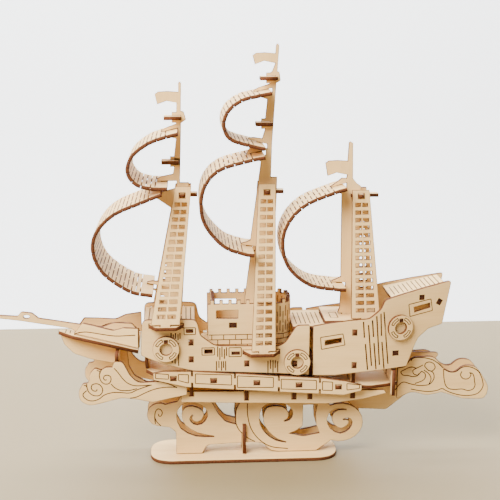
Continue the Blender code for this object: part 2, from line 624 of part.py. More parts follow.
def make_waves(yard):
    """Carved wave plates under the bow and behind the stern."""
    bow = rounded([(-35.8, 53.0, 1.0), (-35.9, 47.2, 1.0), (-46.0, 45.2, 6.0), (-56.8, 42.8, 6.0),
                   (-66.0, 45.0, 8.0), (-76.0, 46.2, 8.0), (-86.0, 43.6, 8.0), (-95.0, 41.4, 8.0),
                   (-101.4, 44.6, 8.0), (-101.8, 51.0, 6.0), (-99.0, 55.8, 1.5),
                   (-95.6, 56.0, 2.0), (-94.8, 62.0, 6.0), (-91.6, 65.8, 2.0), (-88.0, 64.2, 1.0),
                   (-84.8, 66.0, 2.0), (-81.0, 66.0), (-80.0, 69.4, 2.0), (-74.8, 69.6, 6.0),
                   (-70.6, 60.8, 10.0), (-66.0, 55.6, 8.0), (-52.3, 56.2, 12.0)], 4)
    stern = rounded([(97.4, 57.0), (102.0, 58.0, 1.0), (106.4, 64.0, 6.0), (120.6, 64.8, 8.0),
                     (126.6, 56.6, 8.0), (133.4, 52.6, 8.0), (139.4, 58.4, 8.0), (147.4, 57.8, 8.0),
                     (152.4, 50.8, 10.0), (156.6, 43.2, 8.0), (154.6, 35.4, 6.0), (140.0, 36.0, 12.0),
                     (126.0, 40.6, 1.0), (117.0, 38.6, 10.0), (107.0, 41.4, 8.0), (97.4, 37.0)], 4)
    for side, sign in SIDES:
        yard.plate(f"bow_wave_{side}", bow, at=(0, sign * BOW_WAVE_Y, 0), colour=BIRCH_LIGHT)
        yard.plate(f"stern_wave_{side}", stern, at=(0, sign * STERN_WAVE_Y, 0),
                   colour=BIRCH_LIGHT)


# ---------------------------------------------------------------- castle

def make_castle(yard):
    """Wall with battlements, bent round the castle's stern end on kerfs."""
    straight = CASTLE_AFT - CASTLE_CORNER - CASTLE_FRONT
    quarter = CASTLE_CORNER * math.pi / 2
    across = 2 * (CASTLE_HALF - CASTLE_CORNER)
    length = 2 * straight + 2 * quarter + across
    outline = [(0.0, CASTLE_FOOT), (length, CASTLE_FOOT), (length, CASTLE_TOP)]
    merlons, width, height = 22, 2.1, 2.3
    pitch = length / merlons
    for i in reversed(range(merlons)):
        left = (i + 0.5) * pitch - width / 2
        outline += [(left + width, CASTLE_TOP), (left + width, CASTLE_TOP + height),
                    (left, CASTLE_TOP + height), (left, CASTLE_TOP)]
    outline.append((0.0, CASTLE_TOP))
    margin, window = 5.2, 13.4
    holes = [rectangle(start, 93.6, start + window, 98.9)
             for start in (margin, length - margin - window)]
    wall = yard.to_mesh(yard.plate("castle_wall", outline, holes))
    turns = (straight, straight + quarter + across)
    slice_mesh(wall.data, [turn + quarter * i / 5 for turn in turns for i in range(6)])
    for vertex in wall.data.vertices:
        x, y = wall_point(vertex.co.x / MM, vertex.co.z / MM)
        vertex.co.x, vertex.co.z = x * MM, y * MM


def wall_point(along, across_wall):
    """Plan position of a wall point, walking from the port front round to starboard."""
    straight = CASTLE_AFT - CASTLE_CORNER - CASTLE_FRONT
    quarter = CASTLE_CORNER * math.pi / 2
    middle = straight + quarter + CASTLE_HALF - CASTLE_CORNER
    mirror = 1 if along <= middle else -1
    s = along if along <= middle else 2 * middle - along
    if s <= straight:
        return CASTLE_FRONT + s, mirror * (CASTLE_HALF + across_wall)
    centre = CASTLE_FRONT + straight
    reach = CASTLE_CORNER + across_wall
    if s <= straight + quarter:
        angle = (s - straight) / CASTLE_CORNER
        x = centre + reach * math.sin(angle)
        return x, mirror * (CASTLE_HALF - CASTLE_CORNER + reach * math.cos(angle))
    return centre + reach, mirror * (CASTLE_HALF - CASTLE_CORNER - (s - straight - quarter))


# ---------------------------------------------------------------- masts, sails, shrouds

def jaw(root, z, lean, reach=9.0, above=2.6, below=3.4, depth=3.0):
    """Front-edge points, going down, of a horn with a slot that grips a sail's end.

    root is the x of the mast's front edge; lean is the rise per millimetre towards aft.
    """
    def slot_z(x, sign):
        return z + lean * (x - root) + sign * SLOT / 2
    tip, end = root - reach, root + depth
    return [(root, slot_z(root, 1) + above), (tip + 3.0, slot_z(tip + 3.0, 1) + 2.0),
            (tip, slot_z(tip, 1) + 0.7), (tip, slot_z(tip, 1)), (end, slot_z(end, 1)),
            (end, slot_z(end, -1)), (tip + 2.0, slot_z(tip + 2.0, -1)),
            (root, slot_z(root, -1) - below)]


def board_jaw(root, z, reach=2.4, depth=3.0):
    """Front-edge points of two small cheeks that hold a level board."""
    top, low = z + SLOT / 2, z - SLOT / 2
    return [(root, top + 1.8), (root - reach, top + 1.8), (root - reach, top), (root + depth, top),
            (root + depth, low), (root - reach, low), (root - reach, low - 1.6), (root, low - 1.6)]


def aft_notch(edge, z, depth):
    """Aft-edge points, going up, of a notch for a crosstree."""
    return [(edge, z - SLOT / 2), (edge - depth, z - SLOT / 2), (edge - depth, z + SLOT / 2),
            (edge, z + SLOT / 2)]


def flag(right, z, length, height):
    """Front-edge points of a waving flag, going down."""
    return [(right, z), (right - 0.45 * length, z + 0.5), (right - 0.85 * length, z + 0.2),
            (right - length, z - 1.2), (right - 0.9 * length, z - height - 0.6),
            (right - 0.5 * length, z - height + 1.4), (right, z - height)]


def make_fore_mast(yard):
    """Fore mast with its flag, two nest boards and slots for two sails."""
    front = [(-37.9, 236.6), (-38.7, 235.6)] + flag(-38.7, 230.4, 14.0, 6.6)
    front += [(-39.9, 224.0), (-40.0, 218.6)] + board_jaw(-40.4, FORE_NESTS[0][1])
    front += jaw(-40.4, 207.4, 0.25, 8.6, depth=1.2)
    front += board_jaw(-41.8, FORE_NESTS[1][1])
    front += [(-42.6, 181.2), (-49.4, 179.8), (-52.4, 178.4), (-52.4, 177.0), (-40.4, 177.0),
              (-40.4, 172.6), (-47.4, 171.0), (-53.6, 168.4), (-53.0, 166.6), (-43.8, 160.2)]
    front += jaw(-48.6, 109.5, -0.22, 11.0, 3.2, 3.4, 3.0)
    front += [(-50.6, 98.0), (-52.4, 93.2), (FORE_TENON[0], 93.2), (FORE_TENON[0], 89.6)]
    aft = [(FORE_TENON[1], 89.6), (FORE_TENON[1], 93.2), (-38.4, 93.2)]
    aft += aft_notch(-33.4, CROSSTREE_Z["fore"], 4.0)
    aft += [(-33.0, 175.9), (-38.4, 175.9), (-37.2, 212.0), (-34.2, 214.0), (-35.6, 218.6),
            (-37.3, 219.2), (-36.9, 235.6)]
    yard.plate("fore_mast", front + aft, colour=BIRCH_LIGHT)


def make_main_mast(yard):
    """Main mast, raked aft, with its flag, two nest boards and slots for two sails."""
    front = [(20.6, 258.8), (19.8, 257.8)] + flag(19.4, 253.0, 13.6, 5.8)
    front += [(17.4, 242.2)] + board_jaw(16.4, MAIN_NESTS[0][1])
    front += jaw(14.6, 230.6, 0.2, 8.4)
    front += board_jaw(13.4, MAIN_NESTS[1][1])
    # two slots share one horn: the upper one's last point and the lower one's top are left out
    front += jaw(11.6, 198.4, -0.25, 8.6)[:-1] + jaw(10.8, 193.2, 0.2, 9.0)[3:]
    front += jaw(4.4, 134.8, -0.14, 5.6, 3.6, 3.0, 3.0)
    front += [(1.0, 104.0), (0.4, 75.6), (MAIN_TENON[0], 75.6), (MAIN_TENON[0], 72.0)]
    aft = [(MAIN_TENON[1], 72.0), (MAIN_TENON[1], 75.6), (16.4, 75.6)]
    aft += aft_notch(20.6, CROSSTREE_Z["main"], 4.0)
    aft += [(20.8, 178.8), (17.0, 178.8), (17.6, 200.0), (20.0, 235.4), (22.6, 237.0),
            (21.8, 242.0), (20.6, 242.4), (21.6, 257.6)]
    yard.plate("main_mast", front + aft, colour=BIRCH_LIGHT)


def make_mizzen_mast(yard):
    """Mizzen mast with its flag and slots for one sail."""
    front = [(65.6, 200.2), (64.6, 199.4)] + flag(64.0, 188.2, 13.6, 8.4)
    front += [(63.4, 177.6)] + jaw(60.6, 172.6, 0.28, 6.6, 3.8, 3.2, 3.0)
    front += jaw(61.0, 110.7, -0.06, 5.6, 3.6, 3.0, 3.0)
    front += [(60.6, 96.0), (59.4, 92.1), (MIZZEN_TENON[0], 92.1), (MIZZEN_TENON[0], 87.0)]
    aft = [(MIZZEN_TENON[1], 87.0), (MIZZEN_TENON[1], 92.1), (72.6, 92.1)]
    aft += aft_notch(72.4, CROSSTREE_Z["mizzen"], 3.6)
    aft += [(72.6, 172.6), (70.0, 174.4), (67.4, 177.6), (67.0, 199.2)]
    yard.plate("mizzen_mast", front + aft, colour=BIRCH_LIGHT)


def make_nests(yard):
    """Level boards on the fore and main masts."""
    half, half_slot = 5.4, SLOT / 2
    for mast, nests, slot_ends in (("fore", FORE_NESTS, (-37.4, -38.8)),
                                   ("main", MAIN_NESTS, (19.4, 16.4))):
        for level, (x, z), inner in zip(("upper", "lower"), nests, slot_ends):
            front, aft = x - 5.2, x + 5.2
            outline = [(front, -half), (aft, -half), (aft, -half_slot), (inner, -half_slot),
                       (inner, half_slot), (aft, half_slot), (aft, half), (front, half)]
            yard.plate(f"nest_board_{mast}_{level}", outline, at=(0, 0, z), turn=(0, 0, 0))


def make_crosstrees(yard):
    """Level plates whose tabs hold the shroud tops off the mast."""
    for mast, front, aft, lap in (("fore", -42.0, -28.0, -37.4), ("main", 11.4, 24.6, 16.6),
                                  ("mizzen", 66.0, 83.0, 68.8)):
        tab = shroud_tab_x(mast)
        half_slot, body, out = SLOT / 2, 3.4, 7.6
        half = [(lap + GAP, -half_slot), (front, -half_slot), (front, -body), (tab - 1.6, -body),
                (tab - 1.6, -out), (tab + 1.6, -out), (tab + 1.6, -body), (aft, -body)]
        outline = half + [(u, -v) for u, v in reversed(half)]
        yard.plate(f"crosstree_{mast}", outline, at=(0, 0, CROSSTREE_Z[mast]), turn=(0, 0, 0),
                   colour=BIRCH_DEEP)


def make_sails(yard):
    """Bent strips, each end notched to straddle its mast."""
    for name, (half_width, knots) in SAILS.items():
        strip = yard.plate(name, ribbon(knots, PLY, 3), colour=BIRCH_LIGHT,
                           thickness=2 * half_width)
        solid = yard.to_mesh(strip)
        for end, inner in ((knots[0], knots[1]), (knots[-1], knots[-2])):
            rise = math.degrees(math.atan2(end[1] - inner[1], end[0] - inner[0]))
            centre = (end[0] + 1.0, 0.0, end[1])
            yard.cut_box(solid, centre, (6.4, SLOT, 9.0), -rise)


def between(start, end, share):
    """Value part of the way from start to end."""
    return start + (end - start) * share


def shroud_tab_x(mast):
    """Middle of the shroud's width at the height of its crosstree."""
    _, foot, head, foot_z, _, _ = next(row for row in SHROUDS if row[0] == mast)
    share = (CROSSTREE_Z[mast] - foot_z) / (SHROUD_TOP[mast] - foot_z)
    return between(sum(foot), sum(head), share) / 2


def make_shrouds(yard):
    """Perforated ladder plates that lean in to the mast tops."""
    for mast, foot, head, foot_z, foot_y, rows in SHROUDS:
        rise = SHROUD_TOP[mast] - foot_z
        lean = math.atan2(foot_y - SHROUD_LEAN_TOP, rise)
        length = rise / math.cos(lean)
        middle = (foot[0] + foot[1]) / 2
        outline = [(foot[0], 0.0), (middle - 3.0, 0.0), (middle - 3.0, -3.0),
                   (middle + 3.0, -3.0), (middle + 3.0, 0.0), (foot[1], 0.0),
                   (head[1], length), (head[0], length)]
        tab = length - (SHROUD_TOP[mast] - CROSSTREE_Z[mast]) / math.cos(lean)
        centre = shroud_tab_x(mast)
        holes = [rectangle(centre - 1.9, tab - 1.7, centre + 1.9, tab + 1.7)]
        first, last = 5.0, tab - 5.4
        for row in range(rows):
            v = between(first, last, row / (rows - 1))
            low, high = (between(foot[i], head[i], v / length) for i in (0, 1))
            pitch = (high - low) / 5
            for start in (low + pitch * 0.85, low + pitch * 2.75):
                holes.append(rectangle(start, v - 1.1, start + pitch * 1.4, v + 1.1))
        for side, sign in SIDES:
            turn = (90 - math.degrees(lean) * -sign, 0, 0)
            yard.plate(f"{mast}_shroud_{side}", outline, holes, colour=BIRCH_LIGHT,
                       at=(0, sign * foot_y, foot_z), turn=turn)


def main():
    """Build every piece."""
    clear_scene()
    yard = Yard()
    for make in (make_base, make_stand, make_keel, make_waterline_board, make_armour,
                 make_skirts, make_frames, make_side_panels, make_life_rings, make_decks,
                 make_bow, make_waves, make_castle, make_fore_mast, make_main_mast,
                 make_mizzen_mast, make_nests, make_crosstrees, make_sails, make_shrouds):
        make(yard)


main()
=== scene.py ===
"""Looks of a laser-cut plywood ship puzzle: three masts, bent sails and a scroll-work stand.

Lengths in the tables and outlines are millimetres; every surface function turns them into
metres.  The bow points to -X, the port side to -Y, and the stand rests on z = 0.
"""

import itertools
import math

import bmesh
import bpy
import numpy as np
from bpy.props import FloatProperty, FloatVectorProperty, PointerProperty
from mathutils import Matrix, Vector
from mathutils.geometry import tessellate_polygon


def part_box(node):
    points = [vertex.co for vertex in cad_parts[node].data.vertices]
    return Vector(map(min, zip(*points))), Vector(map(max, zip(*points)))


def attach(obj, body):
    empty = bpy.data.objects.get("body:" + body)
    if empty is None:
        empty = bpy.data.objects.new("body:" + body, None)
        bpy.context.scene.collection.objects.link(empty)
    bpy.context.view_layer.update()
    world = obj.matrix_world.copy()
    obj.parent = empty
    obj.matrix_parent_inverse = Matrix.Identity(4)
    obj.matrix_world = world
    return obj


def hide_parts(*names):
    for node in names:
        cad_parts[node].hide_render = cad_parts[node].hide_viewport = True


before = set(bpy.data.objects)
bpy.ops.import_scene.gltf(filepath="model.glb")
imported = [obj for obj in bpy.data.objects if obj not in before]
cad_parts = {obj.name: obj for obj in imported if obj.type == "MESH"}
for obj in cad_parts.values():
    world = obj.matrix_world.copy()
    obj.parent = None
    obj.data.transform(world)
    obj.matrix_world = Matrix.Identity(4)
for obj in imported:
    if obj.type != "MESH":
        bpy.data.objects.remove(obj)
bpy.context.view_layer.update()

bl_info = {
    "name": "Plywood Ship Puzzle",
    "version": (1, 0, 0),
    "blender": (4, 5, 0),
    "location": "View3D > Sidebar > Ship",
    "description": "Finishes the plates and bends the sails of a wooden ship model",
    "category": "Object",
}

MM = 0.001
PLY = 2.2
HALF = PLY / 2
GAP = 0.3
FACING = 0.7        # cosine from which a face counts as facing along an axis
NEAREST = 0.02      # points of a rim that lie closer than this are merged
GROOVE_LIFT = 0.02  # height of an engraved line above the veneer
GRAIN_STEP = 0.173  # shift of the grain from one plate to the next, in metres
SEEDS = itertools.count(1)
PANEL_Y = 19.9
BEND_START, BEND_END, BEND_ANGLE = 72.0, 88.0, math.radians(11.3)
BULWARK_SPREAD = math.radians(19.3)
POOP_FRONT, POOP_AFT = (91.0, 104.0), (124.6, 112.6)
BOW_DECK_TIP, BOW_DECK_AFT = (-115.5, 82.6), (-65.0, 75.2)
RINGS = (("fore", -48.2, 77.3), ("mid", 31.8, 67.4), ("aft", 95.6, 87.4))
SIDES = (("port", -1), ("starboard", 1))
CASTLE_HALF, CASTLE_CORNER = 13.5, 9.0
CASTLE_FRONT, CASTLE_AFT = -22.5, 28.0
CASTLE_FOOT, CASTLE_TOP, MERLON = 75.4, 102.8, 2.3
CASTLE_STRAIGHT = CASTLE_AFT - CASTLE_CORNER - CASTLE_FRONT
CASTLE_QUARTER = CASTLE_CORNER * math.pi / 2
CASTLE_LENGTH = 2 * CASTLE_STRAIGHT + 2 * CASTLE_QUARTER + 2 * (CASTLE_HALF - CASTLE_CORNER)


# ---------------------------------------------------------------- values a user would change

def colour(name, description, default):
    """Colour that the sidebar shows."""
    return FloatVectorProperty(name=name, description=description, subtype="COLOR", size=3,
                               min=0, max=1, default=default)


def length(name, description, default, least, most):
    """Length that the sidebar shows."""
    return FloatProperty(name=name, description=description, unit="LENGTH", min=least,
                         max=most, default=default)


class PlywoodSettings(bpy.types.PropertyGroup):
    """Colours and cut marks of the plywood."""
    face: colour("Face", "Colour of the birch veneer", (0.85, 0.575, 0.25))
    streak: colour("Streak", "Colour of the darker grain streaks", (0.63, 0.37, 0.125))
    edge: colour("Edge", "Colour of a laser-burnt edge", (0.15, 0.043, 0.010))
    char: colour("Char", "Darkest colour of a cut or a groove", (0.022, 0.007, 0.003))
    chamfer: length("Chamfer", "Width sanded off every edge", 0.00012, 0.00002, 0.0003)
    halo: length("Scorch", "Width of the scorched rim beside a cut", 0.0005, 0.0001, 0.002)
    line: length("Engraving", "Width of an engraved line", 0.00062, 0.0001, 0.001)


class SailSettings(bpy.types.PropertyGroup):
    """Slits that let a flat plate bend."""
    pitch: length("Slit pitch", "Distance between two rows of slits", 0.0028, 0.0015, 0.006)
    slit: length("Slit width", "Width of one slit", 0.00046, 0.0001, 0.001)
    bridge: length("Bridge", "Length left uncut between two slits", 0.0034, 0.001, 0.01)


class StageSettings(bpy.types.PropertyGroup):
    """Table, wall and light."""
    table: colour("Table", "Colour of the table top", (0.255, 0.195, 0.098))
    wall: colour("Wall", "Colour of the wall behind", (0.86, 0.88, 0.91))
    depth: length("Table depth", "Distance from the ship to the table's far edge", 0.29,
                  0.1, 5.0)
    key: FloatProperty(name="Window", description="Power of the large soft light",
                       subtype="POWER", min=0, max=500, default=84.0)
    fill: FloatProperty(name="Room", description="Strength of the light from all round",
                        min=0, max=5, default=0.34)


# ---------------------------------------------------------------- node graphs

class Value:
    """A shader socket in a Python expression; each operator adds one Math node."""

    def __init__(self, graph, socket):
        self.graph, self.socket = graph, socket

    def maths(self, operation, *operands):
        inputs = dict(enumerate(operands))
        return self.graph.node("ShaderNodeMath", {"operation": operation}, inputs)

    def __add__(self, other):
        return self.maths("ADD", self, other)

    def __sub__(self, other):
        return self.maths("SUBTRACT", self, other)

    def __mul__(self, other):
        return self.maths("MULTIPLY", self, other)

    def __truediv__(self, other):
        return self.maths("DIVIDE", self, other)

    def __radd__(self, other):
        return self.maths("ADD", other, self)

    def __rsub__(self, other):
        return self.maths("SUBTRACT", other, self)

    def __rmul__(self, other):
        return self.maths("MULTIPLY", other, self)

    def __abs__(self):
        return self.maths("ABSOLUTE", self)

    def step(self, low, high, start=0.0, end=1.0):
        """Rise smoothly from start to end while the value goes from low to high."""
        return self.graph.node("ShaderNodeMapRange", {"interpolation_type": "SMOOTHSTEP"},
                               {0: self, 1: low, 2: high, 3: start, 4: end})


class Graph:
    """Node tree of one material."""

    def __init__(self, name):
        self.material = bpy.data.materials.new(name)
        self.material.use_nodes = True
        self.tree = self.material.node_tree
        self.shader = self.tree.nodes["Principled BSDF"]

    def node(self, kind, settings=None, inputs=None, output=0):
        """Add a node: its settings come first, then its sockets' values or links."""
        node = self.tree.nodes.new(kind)
        for key, value in (settings or {}).items():
            setattr(node, key, value)
        for key, value in (inputs or {}).items():
            self.feed(node.inputs[key], value)
        return Value(self, node.outputs[output])

    def feed(self, socket, value):
        """Link a value to a socket, or set it."""
        if isinstance(value, Value):
            self.tree.links.new(value.socket, socket)
        else:
            socket.default_value = value

    def blend(self, share, first, second, mode="MIX"):
        """Colour that goes from first to second by share."""
        colours = [c if isinstance(c, Value) else (*c, 1.0) for c in (first, second)]
        return self.node("ShaderNodeMix", {"data_type": "RGBA", "blend_type": mode},
                         {0: share, 6: colours[0], 7: colours[1]}, 2)

    def attribute(self, name):
        """Painted value of a piece."""
        return self.node("ShaderNodeAttribute", {"attribute_name": name}, output="Fac")

    def stretched(self, source, scale, detail=2.0, rough=0.5, shift=(0, 0, 0)):
        """Noise on coordinates that are scaled differently along each axis."""
        place = self.node("ShaderNodeMapping", None, {"Vector": source, "Scale": scale,
                                                      "Location": shift})
        return self.node("ShaderNodeTexNoise", None, {"Vector": place, "Scale": 1.0,
                                                      "Detail": detail, "Roughness": rough})

    def bump(self, height, strength, distance):
        """Surface normal from a height."""
        return self.node("ShaderNodeBump", None, {"Height": height, "Strength": strength,
                                                  "Distance": distance})


def birch_plywood():
    """Birch veneer with scorched rims, and burnt edges that show the ply's layers."""
    ply = bpy.context.scene.ship_plywood
    graph = Graph("laser_cut_birch")
    grain = graph.node("ShaderNodeUVMap", {"uv_map": "grain"})
    place = graph.node("ShaderNodeTexCoord", output="Object")
    burn, layer, cut = (graph.attribute(name) for name in ("burn", "layer", "cut"))
    broad = graph.stretched(grain, (16, 120, 1), 3.0, 0.55)
    fibre = graph.stretched(grain, (70, 1500, 1), 3.0, 0.6, (3, 7, 0))
    flecks = graph.stretched(grain, (260, 2600, 1), 1.0, 0.5, (9, 2, 0))
    figure = (broad - 0.5) * 0.9 + (fibre - 0.5) * 0.55
    veneer = graph.blend((figure + 0.32).step(0.05, 1.1), ply.face, ply.streak)
    veneer = graph.blend(flecks.step(0.66, 0.78) * 0.22, veneer, ply.streak)
    smoke = graph.stretched(place, (340, 340, 340), 2.0, 0.6)
    scorch = (burn * (smoke * 0.9 + 0.5)).step(0.2, 0.95)
    veneer = graph.blend(scorch * 0.95, veneer, (0.20, 0.068, 0.018))
    grit = graph.stretched(place, (900, 900, 900), 3.0, 0.65)
    depth = abs(layer)
    glue = 1.0 - abs(depth - 0.36).step(0.03, 0.12)
    outer = depth.step(0.55, 1.0)
    edge = graph.blend(grit.step(0.3, 0.75), ply.edge, [0.45 * c for c in ply.edge])
    edge = graph.blend(glue * 0.55, edge, ply.char)
    edge = graph.blend(outer * 0.6, edge, [0.5 * c for c in ply.edge])
    graph.feed(graph.shader.inputs["Base Color"], graph.blend(cut, veneer, edge))
    graph.feed(graph.shader.inputs["Roughness"], 0.56 + fibre * 0.12 + cut * 0.16)
    height = fibre * 0.6 + flecks * 0.3 + cut * (grit * 1.4 - glue * 0.6) - scorch * 0.5
    graph.feed(graph.shader.inputs["Normal"], graph.bump(height, 0.25, 0.00012))
    graph.shader.inputs["Specular IOR Level"].default_value = 0.28
    return graph.material


def burnt_groove():
    """Engraved line: burnt wood that varies with the dwell of the beam."""
    ply = bpy.context.scene.ship_plywood
    graph = Graph("engraved_line")
    place = graph.node("ShaderNodeTexCoord", output="Object")
    dwell = graph.stretched(place, (420, 420, 420), 2.0, 0.6)
    graph.feed(graph.shader.inputs["Base Color"],
               graph.blend(dwell.step(0.35, 0.7), (0.085, 0.026, 0.008), ply.char))
    graph.shader.inputs["Roughness"].default_value = 0.8
    graph.feed(graph.shader.inputs["Normal"], graph.bump(dwell, 0.4, 0.0002))
    graph.shader.inputs["Specular IOR Level"].default_value = 0.15
    return graph.material


def kept_material(name, make):
    """The material of that name, made on its first use."""
    return bpy.data.materials.get(name) or make()


# ---------------------------------------------------------------- curves and surfaces

def smooth(knots, steps=6):
    """Catmull-Rom curve: each span blends its four nearest knots by cubic weights."""
    p = np.asarray(knots, float)
    ends = np.vstack((2 * p[0] - p[1], p, 2 * p[-1] - p[-2]))
    t = np.arange(steps) / steps
    weights = 0.5 * np.stack((-t + 2 * t**2 - t**3, 2 - 5 * t**2 + 3 * t**3,
                              t + 4 * t**2 - 3 * t**3, t**3 - t**2), 1)
    spans = np.stack([ends[i:len(ends) - 3 + i] for i in range(4)], 1)
    return np.vstack((np.einsum("sk,nkd->nsd", weights, spans).reshape(-1, 2), p[-1]))


def straight(x0, z0, x1, z1, steps=1):
    """Evenly spaced points of a straight line."""
    return np.linspace((x0, z0), (x1, z1), steps + 1)


def frame_lines(x0, z0, x1, z1):
    """Four lines round a rectangle."""
    return [straight(x0, z0, x1, z0), straight(x1, z0, x1, z1), straight(x1, z1, x0, z1),
            straight(x0, z1, x0, z0)]


def polyline(points, closed=False):
    """Straight lines from point to point."""
    points = list(points) + ([points[0]] if closed else [])
    return [straight(*a, *b) for a, b in zip(points, points[1:])]


def arc(cx, cz, radius, start, end, steps=10):
    """Points at one distance from a centre, angles in degrees."""
    angle = np.radians(np.linspace(start, end, steps + 1))
    return np.stack((cx + radius * np.cos(angle), cz + radius * np.sin(angle)), 1)


def plane(origin, along, up, normal):
    """Flat surface: origin plus u steps along, v steps up and the offset along the normal."""
    origin, along, up, normal = (np.array(v, float) for v in (origin, along, up, normal))

    def surface(u, v, off):
        """Point in metres at two lengths along the sheet and an offset from its middle."""
        u, v, off = np.broadcast_arrays(u, v, off)
        return (origin + u[..., None] * along + v[..., None] * up + off[..., None] * normal) * MM
    return surface


def upright(y, sign):
    """Plate that stands along the ship, seen from outside."""
    return plane((0, sign * y, 0), (1, 0, 0), (0, 0, 1), (0, sign, 0))


def level(z):
    """Plate that lies flat, seen from above."""
    return plane((0, 0, z), (1, 0, 0), (0, 1, 0), (0, 0, 1))


def sloping(front, aft):
    """Deck that slopes along the ship; u runs from its front end."""
    run, rise = aft[0] - front[0], aft[1] - front[1]
    length = math.hypot(run, rise)
    c, s = run / length, rise / length
    return plane((front[0], 0, front[1]), (c, 0, s), (0, 1, 0), (-s, 0, c))


def bend(u, off):
    """Plan position on the aft panel: straight, then a circular bend, then straight again."""
    radius = (BEND_END - BEND_START) / BEND_ANGLE
    angle = np.clip((u - BEND_START) / radius, 0.0, BEND_ANGLE)
    past = np.maximum(u - BEND_END, 0.0)
    x = np.minimum(u, BEND_START) + (radius + off) * np.sin(angle) + past * math.cos(BEND_ANGLE)
    y = PANEL_Y + off - (radius + off) * (1 - np.cos(angle)) - past * math.sin(BEND_ANGLE)
    return x, y


def bent_panel(sign):
    """Aft panel's surface: u along the bent plate, v its height."""
    def surface(u, v, off):
        """Point in metres at two lengths along the sheet and an offset from its middle."""
        u, v, off = np.broadcast_arrays(np.asarray(u, float), v, off)
        x, y = bend(u, off)
        return np.stack((x, sign * y, v), -1) * MM
    return surface


def castle_surface(u, v, off):
    """Castle wall: port side, quarter round, stern side and back along starboard."""
    u, v, off = np.broadcast_arrays(np.asarray(u, float), v, off)
    middle = CASTLE_LENGTH / 2
    mirror = np.where(u <= middle, -1.0, 1.0)
    s = np.minimum(u, 2 * middle - u)
    angle = np.clip((s - CASTLE_STRAIGHT) / CASTLE_CORNER, 0.0, math.pi / 2)
    inward = np.maximum(s - CASTLE_STRAIGHT - CASTLE_QUARTER, 0.0)
    x = CASTLE_FRONT + np.minimum(s, CASTLE_STRAIGHT) + (CASTLE_CORNER + off) * np.sin(angle)
    y = CASTLE_HALF - CASTLE_CORNER + (CASTLE_CORNER + off) * np.cos(angle) - inward
    return np.stack((x, mirror * y, v), -1) * MM


# ---------------------------------------------------------------- meshes

class Parts:
    """Arrays of one piece: points with their painted values, and faces with theirs.

    A point has a place on the grain, a burn from 0 to 1 and a layer from -1 to 1 through the
    plate.  A face has a cut, 1 on a laser-cut edge, and a slot, its material's number.
    """

    def __init__(self, points, faces, grain, burn, layer=1.0, cut=0.0, slot=0):
        self.points = points.reshape(-1, 3)
        self.loops = np.concatenate([f.ravel() for f in faces])
        self.totals = np.concatenate([np.full(len(f), f.shape[-1]) for f in faces])
        self.spread(grain, burn, layer, cut, slot)

    def spread(self, grain, burn, layer, cut, slot=0):
        """Give every point and face its own painted values."""
        count, faces = len(self.points), len(self.totals)
        self.grain = np.broadcast_to(grain, (count, 2)).copy()
        self.burn, self.layer = (np.broadcast_to(v, count).copy() for v in (burn, layer))
        self.cut, self.slot = (np.broadcast_to(v, faces).copy() for v in (cut, slot))

    def mesh(self, name):
        """Mesh with the painted values."""
        mesh = bpy.data.meshes.new(name)
        mesh.vertices.add(len(self.points))
        mesh.vertices.foreach_set("co", self.points.ravel())
        mesh.loops.add(len(self.loops))
        mesh.loops.foreach_set("vertex_index", self.loops)
        mesh.polygons.add(len(self.totals))
        mesh.polygons.foreach_set("loop_start", np.cumsum(self.totals) - self.totals)
        mesh.polygons.foreach_set("material_index", self.slot)
        mesh.update(calc_edges=True)
        mesh.uv_layers.new(name="grain").uv.foreach_set("vector",
                                                        self.grain[self.loops].ravel())
        for key, domain, values in (("burn", "POINT", self.burn), ("layer", "POINT", self.layer),
                                    ("cut", "CORNER", np.repeat(self.cut, self.totals))):
            mesh.attributes.new(key, "FLOAT", domain).data.foreach_set("value", values)
        return mesh


def build(name, parts, body, node=None, slot=None):
    """Join the parts into one object, paint it and tie it to its body."""
    whole = parts[0]
    starts = np.cumsum([0] + [len(p.points) for p in parts])
    whole.loops = np.concatenate([p.loops + start for p, start in zip(parts, starts)])
    for key in ("totals", "points", "grain", "burn", "layer", "cut", "slot"):
        setattr(whole, key, np.concatenate([getattr(p, key) for p in parts]))
    mesh = whole.mesh(name)
    mesh.validate()
    mesh.materials.append(kept_material("laser_cut_birch", birch_plywood))
    mesh.materials.append(kept_material("engraved_line", burnt_groove))
    piece = bpy.data.objects.new(name, mesh)
    bpy.context.scene.collection.objects.link(piece)
    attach(piece, body)
    if node:
        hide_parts(node)
    slot or node


def outward(faces, surface, u, v):
    """Faces drawn anticlockwise in (u, v), turned round where the surface is left-handed."""
    start, *ends = (surface(u + a, v + b, c).ravel()
                    for a, b, c in ((0, 0, 0), (0.1, 0, 0), (0, 0.1, 0), (0, 0, 0.1)))
    if np.cross(ends[0] - start, ends[1] - start) @ (ends[2] - start) < 0:
        return [f[:, ::-1] for f in faces]
    return faces


def grooves(paths, surface, width=None):
    """Lines drawn just above a plate: every path steps out half its width to both sides."""
    width = width or bpy.context.scene.ship_plywood.line / MM
    points, faces, start = [], [], 0
    for path in paths:
        along = np.gradient(path, axis=0)
        side = np.stack((-along[:, 1], along[:, 0]), 1)
        side *= width / 2 / np.linalg.norm(side, axis=1)[:, None]
        rails = np.stack((path - side, path + side), 1).reshape(-1, 2)
        points.append(surface(rails[:, 0], rails[:, 1], HALF + GROOVE_LIFT))
        i = start + 2 * np.arange(len(path) - 1)
        faces.append(np.stack((i, i + 2, i + 3, i + 1), 1))
        start += len(rails)
    faces = outward(faces, surface, *paths[0][0])
    return Parts(np.concatenate(points), faces, (0.0, 0.0), 1.0, slot=1)


